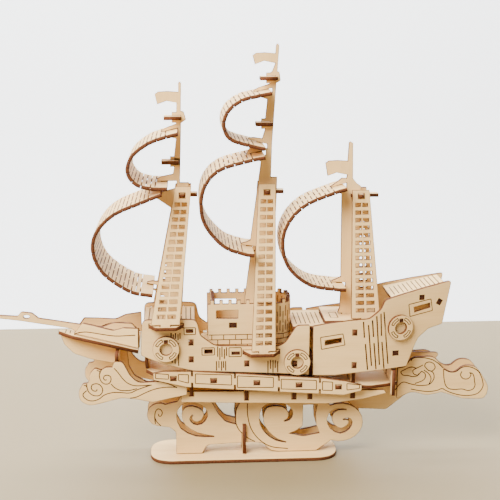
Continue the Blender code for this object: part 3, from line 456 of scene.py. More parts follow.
def rim_loops(mesh):
    """A plate's axis, its middle and half thickness along it, and its front face's rims.

    The axis is the direction that most of the plate's area faces.  A rim follows the edges
    that a front triangle shares with the plate's edge, with the wood on its left.
    """
    work = bmesh.new()
    work.from_mesh(mesh)
    bmesh.ops.remove_doubles(work, verts=work.verts, dist=2e-6)
    work.normal_update()
    normals = np.array([f.normal for f in work.faces])
    areas = np.array([f.calc_area() for f in work.faces])
    axis = Vector(np.linalg.eigh((normals * areas[:, None]).T @ normals)[1][:, 2])
    if axis[int(np.argmax(np.abs(axis)))] < 0:
        axis.negate()
    following = {}
    for face in work.faces:
        if face.normal.dot(axis) > FACING:
            for loop in face.loops:
                if loop.link_loop_radial_next.face.normal.dot(axis) < FACING:
                    following[loop.vert.index] = loop.link_loop_next.vert.index
    points = np.array([v.co for v in work.verts])
    work.free()
    rims = []
    while following:
        rim = [next(iter(following))]
        while following[rim[-1]] != rim[0]:
            rim.append(following[rim[-1]])
        for key in rim:
            del following[key]
        rims.append(points[rim] / MM)
    axis = np.array(axis)
    depth = points @ axis / MM
    return axis, (depth.max() + depth.min()) / 2, np.ptp(depth) / 2, rims


def moved_in(rim, width):
    """Rim moved to its left by a width; a sharp corner moves at most 1.6 widths.

    Where a short edge would turn round, its ends meet in the middle.
    """
    after = np.roll(rim, -1, 0) - rim
    after /= np.maximum(np.linalg.norm(after, axis=1), 1e-9)[:, None]
    before = np.roll(after, 1, 0)
    left = np.stack((-after[:, 1] - before[:, 1], after[:, 0] + before[:, 0]), 1)
    size = np.maximum(np.linalg.norm(left, axis=1), 0.2)
    reach = width * np.minimum(2.0 / size, 1.6) / size
    moved = rim + left * reach[:, None]
    for _ in range(4):
        turned = ((np.roll(moved, -1, 0) - moved) * after).sum(1) < 0
        middle = (np.roll(moved, -1, 0) + moved) / 2
        moved[turned] = middle[turned]
        moved[np.roll(turned, 1)] = middle[turned]
    return moved


def winding(rim):
    """Twice the area inside a rim, positive where it runs anticlockwise."""
    return np.cross(rim, np.roll(rim, -1, 0)).sum()


def plate_parts(rims, surface, half=HALF, turned=False, folds=()):
    """Parts of a plate from its rims in the plane of the sheet, in millimetres.

    Each rim is drawn three times on both faces: at the cut, inside the chamfer and inside
    the scorched band.  The face is filled between the innermost rims, cut along the folds
    and carried onto the surface.
    """
    ply = bpy.context.scene.ship_plywood
    chamfer, halo = ply.chamfer / MM, ply.halo / MM
    rims = [rim[np.linalg.norm(rim - np.roll(rim, 1, 0), axis=1) > NEAREST] for rim in rims]
    inmost = [moved_in(rim, chamfer + halo) for rim in rims]
    rings = [np.concatenate(r) for r in (rims, [moved_in(rim, chamfer) for rim in rims], inmost)]
    fill = np.array(tessellate_polygon([[Vector((*p, 0.0)) for p in r] for r in inmost]))
    a, b, c = rings[2][fill.T]
    area = np.cross(b - a, c - a)
    fill = np.where((area < 0)[:, None], fill[:, ::-1], fill)[np.abs(area) > 1e-9]
    count = len(rings[0])
    sizes = np.array([len(rim) for rim in rims])
    here = np.arange(count)
    after = np.concatenate([start + np.roll(np.arange(size), -1)
                            for start, size in zip(np.cumsum(sizes) - sizes, sizes)])
    points, fills, rounds, bands = [], [], [], []
    for side, first in ((1, 0), (-1, 3 * count)):
        depths = side * np.array((half - 0.6 * chamfer, half, half))
        points += [np.column_stack((ring, np.full(count, z))) for ring, z in zip(rings, depths)]
        fills.append((first + 2 * count + fill)[:, ::side])
        for start, group in ((first, rounds), (first + count, bands)):
            band = (start + here, start + after, start + count + after, start + count + here)
            group.append(np.stack(band, 1)[:, ::side])
    wall = np.stack((here, 3 * count + here, 3 * count + after, after), 1)
    faces = outward([*fills, *rounds, *bands, wall], surface, 0.0, 0.0)
    burn = np.tile(np.repeat((1.0, 0.75, 0.0), count), 2)
    layer = np.repeat((1.0, -1.0), 3 * count)
    cut = np.repeat((0.0, 0.5, 0.0, 1.0), (2 * len(fill), 2 * count, 2 * count, count))
    flat = Parts(np.concatenate(points), faces, (0.0, 0.0), burn, layer, cut)
    if len(folds):
        fold(flat, folds)
    u, v, off = flat.points.T
    offset = GRAIN_STEP * next(SEEDS)
    flat.grain = np.stack((v, u) if turned else (u, v), 1) * MM + offset
    flat.points = surface(u, v, off).reshape(-1, 3)
    return flat


def read(items, key, width=1):
    """Array of one value of every item of a mesh."""
    values = np.zeros(len(items) * width)
    items.foreach_get(key, values)
    return values


def fold(parts, folds):
    """Cut the faces of flat parts along lines of equal u."""
    mesh = parts.mesh("folded")
    work = bmesh.new()
    work.from_mesh(mesh)
    for u in folds:
        everything = work.verts[:] + work.edges[:] + work.faces[:]
        bmesh.ops.bisect_plane(work, geom=everything, plane_co=(u, 0, 0),
                               plane_no=(1, 0, 0), dist=1e-4)
    work.to_mesh(mesh)
    work.free()
    parts.points = read(mesh.vertices, "co", 3).reshape(-1, 3)
    parts.loops = read(mesh.loops, "vertex_index").astype(int)
    parts.totals = read(mesh.polygons, "loop_total").astype(int)
    burn, layer, cut = (read(mesh.attributes[key].data, "value")
                        for key in ("burn", "layer", "cut"))
    parts.spread((0.0, 0.0), burn, layer, cut[np.cumsum(parts.totals) - parts.totals])
    bpy.data.meshes.remove(mesh)


def flat_plate(mesh, tall):
    """Parts of a flat CAD plate, found from its own rims; tall turns the grain upright."""
    axis, depth, half, rims = rim_loops(mesh)
    first = np.eye(3)[0 if abs(axis[0]) < FACING else 1]
    u = first - axis * (first @ axis)
    u /= np.linalg.norm(u)
    v = np.cross(axis, u)
    flat = [np.stack((rim @ u, rim @ v), 1) for rim in rims]
    return plate_parts(flat, plane(axis * depth, u, v, axis), half, tall)


def bent_plate(mesh, sign):
    """Parts of an aft panel: its rims are laid flat, and the finished sheet is bent again."""
    radius = (BEND_END - BEND_START) / BEND_ANGLE
    flat = []
    for rim in rim_loops(mesh)[3]:
        x, y = rim[:, 0], sign * rim[:, 1] - (PANEL_Y - radius)
        angle = np.clip(np.arctan2(x - BEND_START, y), 0.0, BEND_ANGLE)
        past = (x - BEND_START) * math.cos(BEND_ANGLE) - y * math.sin(BEND_ANGLE)
        u = np.where(x < BEND_START, x, BEND_START + angle * radius + np.maximum(past, 0.0))
        flat.append(np.stack((u, rim[:, 2]), 1))
    if sum(winding(rim) for rim in flat) < 0:
        flat = [rim[::-1] for rim in flat]
    return plate_parts(flat, bent_panel(sign), folds=np.linspace(BEND_START, BEND_END, 9))


def slit_sheet(size, gaps, surface, halo=0.42):
    """Sheet on a grid whose lines follow the gaps' edges; gap cells are left out.

    Two offset copies of the surface carry the faces, and a wall stands wherever a kept
    cell meets a gap or the sheet's end.
    """
    u1, v1 = size[1], size[3]
    grid = []
    for axis, (low, high) in enumerate(((size[0], u1), (size[2], v1))):
        lines = [low, high, low + halo, high - halo]
        for gap in gaps:
            near, far = gap[2 * axis], gap[2 * axis + 1]
            lines += [near, far, near - halo, far + halo]
        lines = np.unique(np.round(np.clip(lines, low, high), 3))
        keep = np.concatenate(([True], np.diff(lines) > 0.02))
        grid.append(lines[keep])
    rows, columns = grid
    mid_u = (rows[:-1] + rows[1:])[:, None] / 2
    mid_v = (columns[:-1] + columns[1:])[None, :] / 2
    kept = np.ones((len(rows) - 1, len(columns) - 1), bool)
    for a, b, c, d in gaps:
        kept &= ~((mid_u > a) & (mid_u < b) & (mid_v > c) & (mid_v < d))
    u, v = np.meshgrid(rows, columns, indexing="ij")
    outer, inner = (surface(u, v, side * HALF).reshape(-1, 3) for side in (1, -1))
    count = u.size
    index = np.arange(count).reshape(u.shape)
    i, j = np.nonzero(kept)
    corners = index[i, j], index[i + 1, j], index[i + 1, j + 1], index[i, j + 1]
    front = np.stack(corners, 1)
    walls = []
    padded = np.pad(kept, 1)
    for di, dj, a, b in ((-1, 0, 0, 3), (1, 0, 2, 1), (0, -1, 1, 0), (0, 1, 3, 2)):
        bare = ~padded[i + 1 + di, j + 1 + dj]
        p, q = corners[a][bare], corners[b][bare]
        walls.append(np.stack((p, q, q + count, p + count), 1))
    walls = np.concatenate(walls)
    faces = outward([front, front[:, ::-1] + count, walls], surface, rows[1], columns[1])
    whole = padded[:-1, :-1] & padded[1:, :-1] & padded[:-1, 1:] & padded[1:, 1:]
    burn = np.tile(np.where(whole.ravel(), 0.0, 1.0), 2)
    grain = np.tile(np.stack((u.ravel(), v.ravel()), 1) * MM, (2, 1))
    return Parts(np.vstack((outer, inner)), faces, grain, burn,
                 np.repeat((1.0, -1.0), count),
                 np.repeat((0.0, 1.0), (2 * len(front), len(walls))))


# ---------------------------------------------------------------- engraving, in millimetres

BOW_CURLS = (
    ((-87.4, 64.9), (-88.9, 61.6), (-88.3, 57.7), (-86.1, 55.5), (-83.4, 55.6), (-82.1, 57.5),
     (-82.2, 59.8), (-83.9, 61.0), (-85.8, 60.6), (-86.5, 59.1), (-85.6, 57.9), (-84.6, 58.2)),
    ((-96.8, 55.7), (-96.6, 52.9), (-95.4, 50.0), (-92.7, 48.1), (-89.6, 48.0), (-87.7, 49.8),
     (-87.3, 52.3), (-88.8, 54.8), (-91.1, 55.7), (-93.5, 54.9), (-94.1, 52.8), (-92.9, 51.2),
     (-91.1, 51.0), (-90.6, 52.1)),
    ((-96.9, 51.4), (-99.1, 49.3), (-98.8, 47.2), (-96.2, 45.1), (-92.8, 44.7), (-89.4, 45.9),
     (-86.3, 48.3), (-81.5, 49.7), (-76.8, 49.7), (-70.7, 49.3), (-65.8, 51.4), (-57.4, 54.2)),
    ((-82.0, 55.3), (-80.1, 53.1), (-76.7, 51.2), (-71.3, 50.9), (-66.4, 52.0)),
    ((-80.0, 65.4), (-77.8, 62.8), (-74.5, 58.1), (-71.2, 55.2), (-66.5, 53.8), (-57.4, 54.0)),
    ((-70.8, 45.9), (-66.7, 46.6), (-61.2, 49.2), (-55.8, 51.3), (-49.6, 52.4), (-42.1, 52.4)),
    ((-51.0, 56.0), (-46.9, 54.6), (-41.8, 52.0)),
    ((-90.4, 64.4), (-88.9, 63.5), (-88.3, 62.2)),
    ((-98.6, 54.9), (-97.2, 54.4), (-96.6, 53.2)),
)
STERN_CURLS = (
    ((126.8, 56.0), (131.0, 53.9), (134.9, 54.1), (138.0, 56.4), (141.2, 57.3), (145.1, 56.6),
     (149.1, 54.2), (151.2, 50.8), (152.4, 47.4), (152.8, 44.0), (151.2, 40.7), (148.5, 38.7),
     (143.4, 37.8), (138.1, 38.3), (132.9, 39.8), (129.0, 41.5), (126.3, 42.9), (123.1, 41.7),
     (117.3, 41.1), (111.5, 41.9), (106.3, 43.0)),
    ((138.7, 54.1), (137.9, 51.7), (139.6, 49.4), (142.2, 49.0), (144.1, 50.3), (144.6, 52.3),
     (143.6, 53.1), (145.6, 52.5), (146.7, 50.2), (147.1, 47.5), (147.6, 44.8), (146.4, 42.2),
     (143.2, 41.2), (139.3, 42.3), (134.7, 42.1), (130.8, 42.8), (128.5, 45.2), (127.3, 50.0),
     (126.8, 56.0)),
    ((105.7, 61.7), (106.9, 63.4), (110.1, 64.0), (115.2, 63.5), (119.8, 62.1), (123.7, 59.4),
     (126.4, 56.7)),
    ((114.5, 58.2), (115.4, 60.2), (117.9, 60.8), (120.5, 59.4), (121.3, 56.8), (119.4, 54.8),
     (116.8, 55.5), (114.5, 58.2)),
    ((113.5, 58.9), (111.0, 57.6), (109.1, 57.0), (106.5, 57.7), (103.9, 57.1), (101.4, 55.8),
     (99.5, 54.6), (100.9, 52.5), (104.1, 52.1), (106.7, 51.4), (109.9, 51.7), (111.1, 53.3)),
    ((109.7, 57.0), (107.2, 55.4), (107.9, 53.0), (110.5, 52.3), (111.7, 53.6), (113.0, 54.9)),
    ((113.0, 54.6), (115.0, 53.2), (115.1, 50.2), (113.2, 48.3), (108.8, 46.7)),
    ((114.2, 55.6), (117.6, 52.8), (119.0, 49.5), (117.8, 45.8)),
    ((116.8, 55.5), (120.1, 53.8), (120.9, 50.1), (119.1, 46.8), (116.5, 45.5), (111.4, 45.3),
     (106.2, 46.4), (101.7, 47.8), (99.2, 46.6), (96.1, 42.6)),
)
STAND_CURLS = (
    ((-56.0, 23.0), (-56.4, 27.1), (-55.9, 31.1), (-54.3, 33.0), (-52.4, 32.3), (-51.6, 30.3),
     (-52.5, 28.3), (-53.7, 28.3), (-54.0, 29.7)),
    ((-56.3, 27.1), (-55.1, 24.4), (-52.6, 21.6)),
    ((2.2, 35.4), (2.3, 27.7), (4.1, 19.5), (7.6, 13.3), (12.7, 8.4), (18.5, 5.6), (28.2, 4.3)),
    ((-4.8, 33.2), (-5.4, 25.8), (-4.5, 20.4), (-2.0, 16.3), (2.5, 12.1), (7.0, 9.6)),
)
BULWARK_LINES = (
    ((-0.2, 82.1), (1.9, 83.4), (7.3, 84.6), (14.0, 84.4), (20.6, 83.9), (27.2, 83.7),
     (33.8, 84.4), (40.6, 85.3)),
    ((15.6, 83.2), (19.5, 84.4), (24.7, 84.8), (30.6, 84.1), (35.2, 82.3), (39.1, 79.5),
     (41.0, 77.3)),
)
ARMOUR_FIELDS = (
    ((-54.8, 62.3), (-46.9, 61.5), (-47.0, 58.5), (-54.9, 59.1)),
    ((-40.9, 61.4), (-34.8, 61.1), (-34.9, 55.7), (-40.9, 57.5)),
    ((-30.6, 61.5), (-8.5, 60.4), (-8.5, 53.9), (-30.7, 55.4)),
    ((-4.9, 59.7), (17.2, 58.2), (17.2, 51.8), (-4.9, 52.2)),
    ((22.0, 57.0), (43.8, 55.7), (43.8, 49.7), (22.1, 50.7)),
    ((47.5, 54.9), (53.8, 54.4), (53.8, 49.0), (47.6, 49.3)),
    ((62.7, 53.3), (70.5, 52.2), (70.6, 49.9), (62.8, 49.1)),
)
PANEL_KERFS = (
    (-16.8, 78.0, 71.3), (-15.5, 77.0, 69.3), (-14.2, 77.8, 71.2), (-12.7, 76.3, 69.9),
    (-11.4, 77.4, 71.8), (-17.6, 68.7, 62.5), (-16.1, 68.7, 64.2), (-14.5, 68.6, 62.4),
    (-13.3, 68.6, 64.1), (-12.0, 68.6, 62.4), (14.0, 68.1, 60.6), (15.6, 68.7, 62.9),
    (17.1, 68.6, 60.6), (18.5, 68.6, 63.5), (20.0, 67.9, 60.6), (-45.0, 87.0, 83.2),
    (-43.7, 86.2, 82.4), (-42.3, 87.0, 83.2), (-40.8, 86.2, 82.4), (-39.6, 87.0, 83.2),
    (-40.7, 80.7, 66.0), (-44.6, 73.0, 68.0), (-42.8, 72.0, 67.2),
)
BEND_KERFS = (
    ((72.5, 92.0), (73.3, 81.7)), ((74.0, 77.8), (75.7, 61.0)), ((75.6, 89.9), (78.1, 63.4)),
    ((78.0, 92.8), (78.9, 82.1)), ((79.3, 78.2), (81.0, 61.2)), ((80.6, 95.4), (83.1, 63.8)),
    ((83.2, 96.8), (83.9, 82.5)), ((84.3, 78.6), (86.1, 61.2)), ((85.1, 97.7), (88.6, 64.0)),
)
AFT_FIELDS = (
    ((46.2, 82.5), (60.0, 84.5), (61.4, 77.4), (46.9, 74.8)),
    ((101.3, 101.3), (115.9, 103.9), (117.2, 96.4), (102.3, 93.6)),
)
SAIL_BODY = {
    "fore_lower_sail": (23.5, (
        (-49.4, 172.2), (-60, 168), (-78, 160.2), (-88.4, 149), (-90, 137), (-84, 124.8),
        (-69, 114), (-55.6, 111))),
    "fore_upper_sail": (23.5, (
        (-39.2, 207.7), (-48.2, 205.4), (-57, 202), (-66, 194.8), (-68.8, 186),
        (-64.4, 178.8), (-56, 175.9), (-45.8, 175.5))),
    "main_upper_sail": (22.0, (
        (15.8, 230.8), (7, 229.1), (-1.6, 226.8), (-9.4, 221), (-12.4, 212.6), (-8.8, 204.6),
        (2, 200.7), (11.8, 198.3))),
    "main_lower_sail": (22.0, (
        (12, 193.4), (2, 191.4), (-14.6, 186.4), (-23.4, 177.4), (-26.1, 165),
        (-23.2, 152.6), (-12.6, 140.4), (0, 135.4), (5.6, 134.6))),
    "mizzen_sail": (15.0, (
        (61.8, 173), (54.2, 170.8), (37, 163.6), (26.9, 153.2), (23.2, 140.4),
        (26.9, 125.6), (39.6, 114.4), (56, 111), (62.4, 110.6))),
}


def planks(x0, x1, half, pitch=2.85, gaps=()):
    """Athwart lines from x0 to x1 that stop at every gap (front, aft, half width)."""
    lines = []
    for x in np.arange(x0 + pitch, x1 - 1.0, pitch):
        reach = [gap[2] for gap in gaps if gap[0] - 0.4 < x < gap[1] + 0.4]
        if reach:
            inner = max(reach) + 0.4
            lines += [straight(x, -half, x, -inner, 4), straight(x, inner, x, half, 4)]
        else:
            lines.append(straight(x, -half, x, half, 8))
    return lines


def ring_lines():
    """Four bands round a ring: two arcs each, closed by short caps."""
    lines = []
    for middle in (45, 135, 225, 315):
        low, high = middle - 24, middle + 24
        lines += [arc(0, 0, r, low, high) for r in (5.2, 6.7)]
        for angle in np.radians((low, high)):
            c, s = math.cos(angle), math.sin(angle)
            lines.append(straight(5.2 * c, 5.2 * s, 6.7 * c, 6.7 * s))
    return lines


def ring_surface(along, z, sign):
    """Ring's plate: it hangs one gap outside the panel and turns with it."""
    x, y = bend(np.array(along, float), PLY + GAP)
    turn = BEND_ANGLE if along > BEND_END else 0.0
    return plane((float(x), sign * float(y), z), (math.cos(turn), -sign * math.sin(turn), 0),
                 (0, 0, 1), (math.sin(turn), sign * math.cos(turn), 0))


def brick_lines():
    """Three courses of bricks with staggered joints, from the foot of the castle's wall."""
    courses = (CASTLE_FOOT, 77.1, 80.2, 83.3)
    end = CASTLE_LENGTH - 0.6
    lines = [np.stack((np.linspace(0.6, end, 121), np.full(121, z)), 1) for z in courses[1:]]
    for row in range(3):
        for u in np.arange(2.3 + 3.65 * (row % 2), end, 7.3):
            lines.append(straight(u, courses[row] + 0.1, u, courses[row + 1]))
    return lines


def middle(node, axis):
    """Distance of a plate's mid-plane from the origin along an axis, in millimetres."""
    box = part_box(node)
    return abs(box[0][axis] + box[1][axis]) / 2 / MM


def drawn(node):
    """Engraved lines of a CAD piece: groups of (paths, surface, width)."""
    sign = 1 if node.endswith("starboard") else -1
    stem = node.rsplit("_", 1)[0] if node.endswith(("port", "starboard")) else node
    if stem == "bow_wave":
        return [([smooth(k) for k in BOW_CURLS], upright(middle(node, 1), sign), None)]
    if stem == "stern_wave":
        return [([smooth(k) for k in STERN_CURLS], upright(middle(node, 1), sign), None)]
    if stem == "stand_scroll":
        return [([smooth(k) for k in STAND_CURLS], upright(middle(node, 1), sign), None)]
    if stem == "armour_strip":
        fields = [line for field in ARMOUR_FIELDS for line in polyline(field, True)]
        return [(fields, upright(middle(node, 1), sign), 0.55)]
    if stem == "bow_bulwark":
        c, s = math.cos(BULWARK_SPREAD), math.sin(BULWARK_SPREAD)
        paths = [smooth(k) for k in BULWARK_LINES]
        start = (-104.6, sign * 4.2, 0)
        outside = plane(start, (c, sign * s, 0), (0, 0, 1), (-s, sign * c, 0))
        inside = plane(start, (c, sign * s, 0), (0, 0, 1), (s, -sign * c, 0))
        return [(paths[:1], outside, None), (paths[1:], inside, None)]
    if stem == "fore_side_panel":
        fields = (frame_lines(-37.1, 85.8, -30.2, 90.1) + frame_lines(-35.9, 87.1, -31.7, 89.1)
                  + frame_lines(-26.4, 72.6, -18.8, 77.2) + frame_lines(-9.9, 71.3, -2.4, 77.0)
                  + [straight(-35.6, z, -32.0, z) for z in (87.6, 88.1, 88.6)])
        kerfs = [straight(x, top, x, low) for x, top, low in PANEL_KERFS]
        # Wide dark band across the gun port's frame: painted shade standing for the port's dark
        # inside.
        port_shade = [straight(-8.5, 73.5, -3.2, 73.5)]
        side = upright(middle(node, 1), sign)
        return [(fields, side, 0.55), (kerfs, side, 0.7), (port_shade, side, 2.2)]
    if stem == "aft_side_panel":
        fields = [line for field in AFT_FIELDS for line in polyline(field, True)]
        kerfs = [straight(*a, *b) for a, b in BEND_KERFS]
        tabs = [straight(91.4, 70.7, 95.5, 70.7), straight(108.1, 105.3, 111.6, 105.3),
                straight(120.6, 100.0, 122.6, 103.4)]
        side = bent_panel(sign)
        return [(fields, side, 0.55), (kerfs, side, 0.85), (tabs, side, 3.3)]
    if stem.startswith("life_ring"):
        along, z = next(r[1:] for r in RINGS if stem.endswith(r[0]))
        return [(ring_lines(), ring_surface(along, z, sign), 0.55),
                ([straight(-1.3, 4.95, 1.3, 4.95)], ring_surface(along, z, sign), 2.3)]
    if node == "castle_wall":
        ends = [straight(12.9, 89.4, 17.8, 89.4)]
        return [(brick_lines(), castle_surface, 0.5), (ends, castle_surface, 3.4)]
    if node == "bow_deck":
        return [(planks(2.0, 46.0, 3.4, 2.8), sloping(BOW_DECK_TIP, BOW_DECK_AFT), None)]
    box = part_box(node)
    x0, x1 = box[0][0] / MM, box[1][0] / MM
    if node == "poop_deck":
        front, aft = POOP_FRONT, POOP_AFT
        length = math.dist(front, aft)
        return [(planks(0.2, length, 9.4), sloping(front, aft), None)]
    if node == "quarter_deck":
        return [(planks(x0, x1, 12.6, 2.85, [(52.0, 76.0, 6.0)]), level(middle(node, 2)), None)]
    if node == "main_deck":
        gaps = [(-24.6, 30.6, 15.6)]
        return [(planks(x0, x1, 16.4, 2.85, gaps), level(middle(node, 2)), None)]
    if node == "mizzen_step":
        return [(frame_lines(54.0, -9.5, 58.5, 2.5), level(middle(node, 2)), None)]
    if node == "forecastle_deck":
        return [(planks(x0, x1, 16.0, 2.85, [(-52.6, -38.6, 3.0)]), level(middle(node, 2)), None)]
    return []


# ---------------------------------------------------------------- pieces

def finish(nodes, body, tall=False):
    """Replace plates by finished copies with their engraving."""
    for node in nodes:
        source = bpy.data.objects[node].data.copy()
        source.transform(bpy.data.objects[node].matrix_world)
        if node.startswith("aft_side"):
            parts = [bent_plate(source, 1 if node.endswith("starboard") else -1)]
        else:
            parts = [flat_plate(source, tall)]
        bpy.data.meshes.remove(source)
        parts += [grooves(*group) for group in drawn(node)]
        build(node + "_plate", parts, body, node)


def add_plate(name, node, outline, holes, surface, lines=()):
    """Finish a plate that the solid model leaves out."""
    rims = [np.array(rim, float) for rim in (outline, *holes)]
    rims = [rim[::-1] if (winding(rim) > 0) == bool(i) else rim for i, rim in enumerate(rims)]
    parts = [plate_parts(rims, surface)] + [grooves(*group) for group in lines]
    build(name, parts, "ship", slot=node)


def both(*stems):
    """Names of the pieces on both sides."""
    return [f"{stem}_{side}" for stem in stems for side, _ in SIDES]


def box_outline(u0, v0, u1, v1):
    """Corners of a rectangle."""
    return [(u0, v0), (u1, v0), (u1, v1), (u0, v1)]


class Finishing:
    """Operator that finishes groups of plates of one body; tall plates have upright grain."""
    body = "ship"
    plates = ()
    tall = ()

    def execute(self, context):
        finish(self.tall, self.body, True)
        finish(self.plates, self.body)
        return {"FINISHED"}


class SHIP_OT_stand(Finishing, bpy.types.Operator):
    """Finish the base, the two scroll plates and their brace"""
    bl_idname = "ship.stand"
    bl_label = "Stand"
    body = "stand"
    plates = ("base_plate", "stand_brace", *both("stand_scroll"))


class SHIP_OT_hull(Finishing, bpy.types.Operator):
    """Finish the keel, frames, bulkhead, waterline board and skirts"""
    bl_idname = "ship.hull"
    bl_label = "Hull frame"
    plates = ("keel_plate", "waterline_board", "bow_bulkhead", "cross_frame_1",
              "cross_frame_2", "cross_frame_3", "cross_frame_4", *both("hull_skirt"))


class SHIP_OT_sides(Finishing, bpy.types.Operator):
    """Finish the four side panels, the armour strips and the life rings"""
    bl_idname = "ship.sides"
    bl_label = "Sides"
    plates = both("fore_side_panel", "aft_side_panel", "armour_strip", "life_ring_fore",
                  "life_ring_mid", "life_ring_aft")


class SHIP_OT_decks(Finishing, bpy.types.Operator):
    """Finish the decks and the step that carries the mizzen mast"""
    bl_idname = "ship.decks"
    bl_label = "Decks"
    plates = ("main_deck", "forecastle_deck", "quarter_deck", "poop_deck", "mizzen_step",
              "bow_deck")


class SHIP_OT_ends(Finishing, bpy.types.Operator):
    """Finish the bowsprit, the bulwarks and the four waves"""
    bl_idname = "ship.ends"
    bl_label = "Bow and waves"
    plates = ("bowsprit", *both("bow_bulwark", "bow_wave", "stern_wave"))


class SHIP_OT_rig(Finishing, bpy.types.Operator):
    """Finish the masts, their boards and the shrouds"""
    bl_idname = "ship.rig"
    bl_label = "Masts and shrouds"
    tall = ("fore_mast", "main_mast", "mizzen_mast",
            *both("fore_shroud", "main_shroud", "mizzen_shroud"))
    plates = ("nest_board_fore_upper", "nest_board_fore_lower", "nest_board_main_upper",
              "nest_board_main_lower", "crosstree_fore", "crosstree_main", "crosstree_mizzen")


def castle_gaps():
    """Windows, the gaps between merlons and the kerfs at both bends."""
    pitch, width = CASTLE_LENGTH / 22, 2.1
    starts = (np.arange(22) + 0.5) * pitch + width / 2
    top = CASTLE_TOP + MERLON
    gaps = [(a, a + pitch - width, CASTLE_TOP, top) for a in starts[:-1]]
    gaps += [(0.0, pitch / 2 - width / 2, CASTLE_TOP, top), (starts[-1], CASTLE_LENGTH,
                                                             CASTLE_TOP, top)]
    gaps += [(5.2, 18.6, 93.6, 98.9), (CASTLE_LENGTH - 18.6, CASTLE_LENGTH - 5.2, 93.6, 98.9)]
    corner = CASTLE_STRAIGHT + CASTLE_QUARTER + 2 * (CASTLE_HALF - CASTLE_CORNER)
    for turn in (CASTLE_STRAIGHT, corner):
        for i in range(8):
            u = turn + CASTLE_QUARTER * (i + 0.5) / 8
            spans = ((85.4, 91.6), (94.4, 100.8)) if i % 2 else ((84.2, 88.6), (90.4, 97.4))
            gaps += [(u - 0.17, u + 0.17, *span) for span in spans]
    return gaps


class SHIP_OT_castle(bpy.types.Operator):
    """Bend the castle's wall with its windows and battlements, and close its front"""
    bl_idname = "ship.castle"
    bl_label = "Castle"

    def execute(self, context):
        size = (0.0, CASTLE_LENGTH, CASTLE_FOOT, CASTLE_TOP + MERLON)
        parts = [slit_sheet(size, castle_gaps(), castle_surface)]
        parts += [grooves(*group) for group in drawn("castle_wall")]
        build("castle_wall_plate", parts, "ship", "castle_wall")
        steps = [(-12.1, CASTLE_FOOT), (12.1, CASTLE_FOOT), (12.1, CASTLE_TOP)]
        for y in (9.4, 4.7, 0.0, -4.7, -9.4):
            steps += [(y + 1.05, CASTLE_TOP), (y + 1.05, CASTLE_TOP + 2.0),
                      (y - 1.05, CASTLE_TOP + 2.0), (y - 1.05, CASTLE_TOP)]
        steps.append((-12.1, CASTLE_TOP))
        front = plane((-19.1, 0, 0), (0, 1, 0), (0, 0, 1), (-1, 0, 0))
        door = np.vstack(((3.2, 76.6), arc(0, 83.0, 3.2, 0, 180, 12), (-3.2, 76.6)))
        lines = [(polyline(door.tolist(), True) + [straight(0, 76.8, 0, 86.0)], front, None)]
        holes = [box_outline(a, 90.6, a + 3.6, 96.2) for a in (-8.6, 5.0)]
        add_plate("castle_front", "castle_wall", steps, holes, front, lines)
        return {"FINISHED"}


def bent_sail(knots):
    """Surface along a smooth profile: u is the length along it, v the distance athwart."""
    path = smooth(knots, 24)
    steps = np.linalg.norm(np.diff(path, axis=0), axis=1)
    length = np.concatenate(([0.0], np.cumsum(steps)))
    tangent = np.gradient(path, axis=0)
    tangent /= np.linalg.norm(tangent, axis=1)[:, None]

    def surface(u, v, off):
        """Point in metres at two lengths along the sheet and an offset from its middle."""
        u, v, off = np.broadcast_arrays(np.asarray(u, float), v, off)
        x, z, tx, tz = (np.interp(u, length, column)
                        for column in (*path.T, *tangent.T))
        return np.stack((x + off * tz, v, z - off * tx), -1) * MM
    return surface, length[-1]


def sail_gaps(length, half):
    """Rows of slits, open at the sides in every other row, and the notch for the mast."""
    sail = bpy.context.scene.ship_sail
    pitch, slit, bridge = sail.pitch / MM, sail.slit / MM, sail.bridge / MM
    count = int((length - 11.0) / pitch)
    first = (length - (count - 1) * pitch) / 2
    gaps = [(0.0, 4.2, -PLY / 2 - GAP, PLY / 2 + GAP),
            (length - 4.2, length, -PLY / 2 - GAP, PLY / 2 + GAP)]
    for i in range(count):
        s = first + i * pitch
        centres = (-half / 2, half / 2) if i % 2 == 0 else (-half, 0.0, half)
        ends = [-half] + [e for c in centres for e in (c - bridge / 2, c + bridge / 2)] + [half]
        for low, high in zip(ends[::2], ends[1::2]):
            if high > low:
                gaps.append((s - slit / 2, s + slit / 2, low, high))
    return gaps


class SHIP_OT_sails(bpy.types.Operator):
    """Bend the five sails on their rows of slits"""
    bl_idname = "ship.sails"
    bl_label = "Sails"

    def execute(self, context):
        for name, (half, knots) in SAIL_BODY.items():
            surface, length = bent_sail(knots)
            sheet = slit_sheet((0.0, length, -half, half), sail_gaps(length, half), surface)
            build(name + "_plate", [sheet], "ship", name)
        return {"FINISHED"}


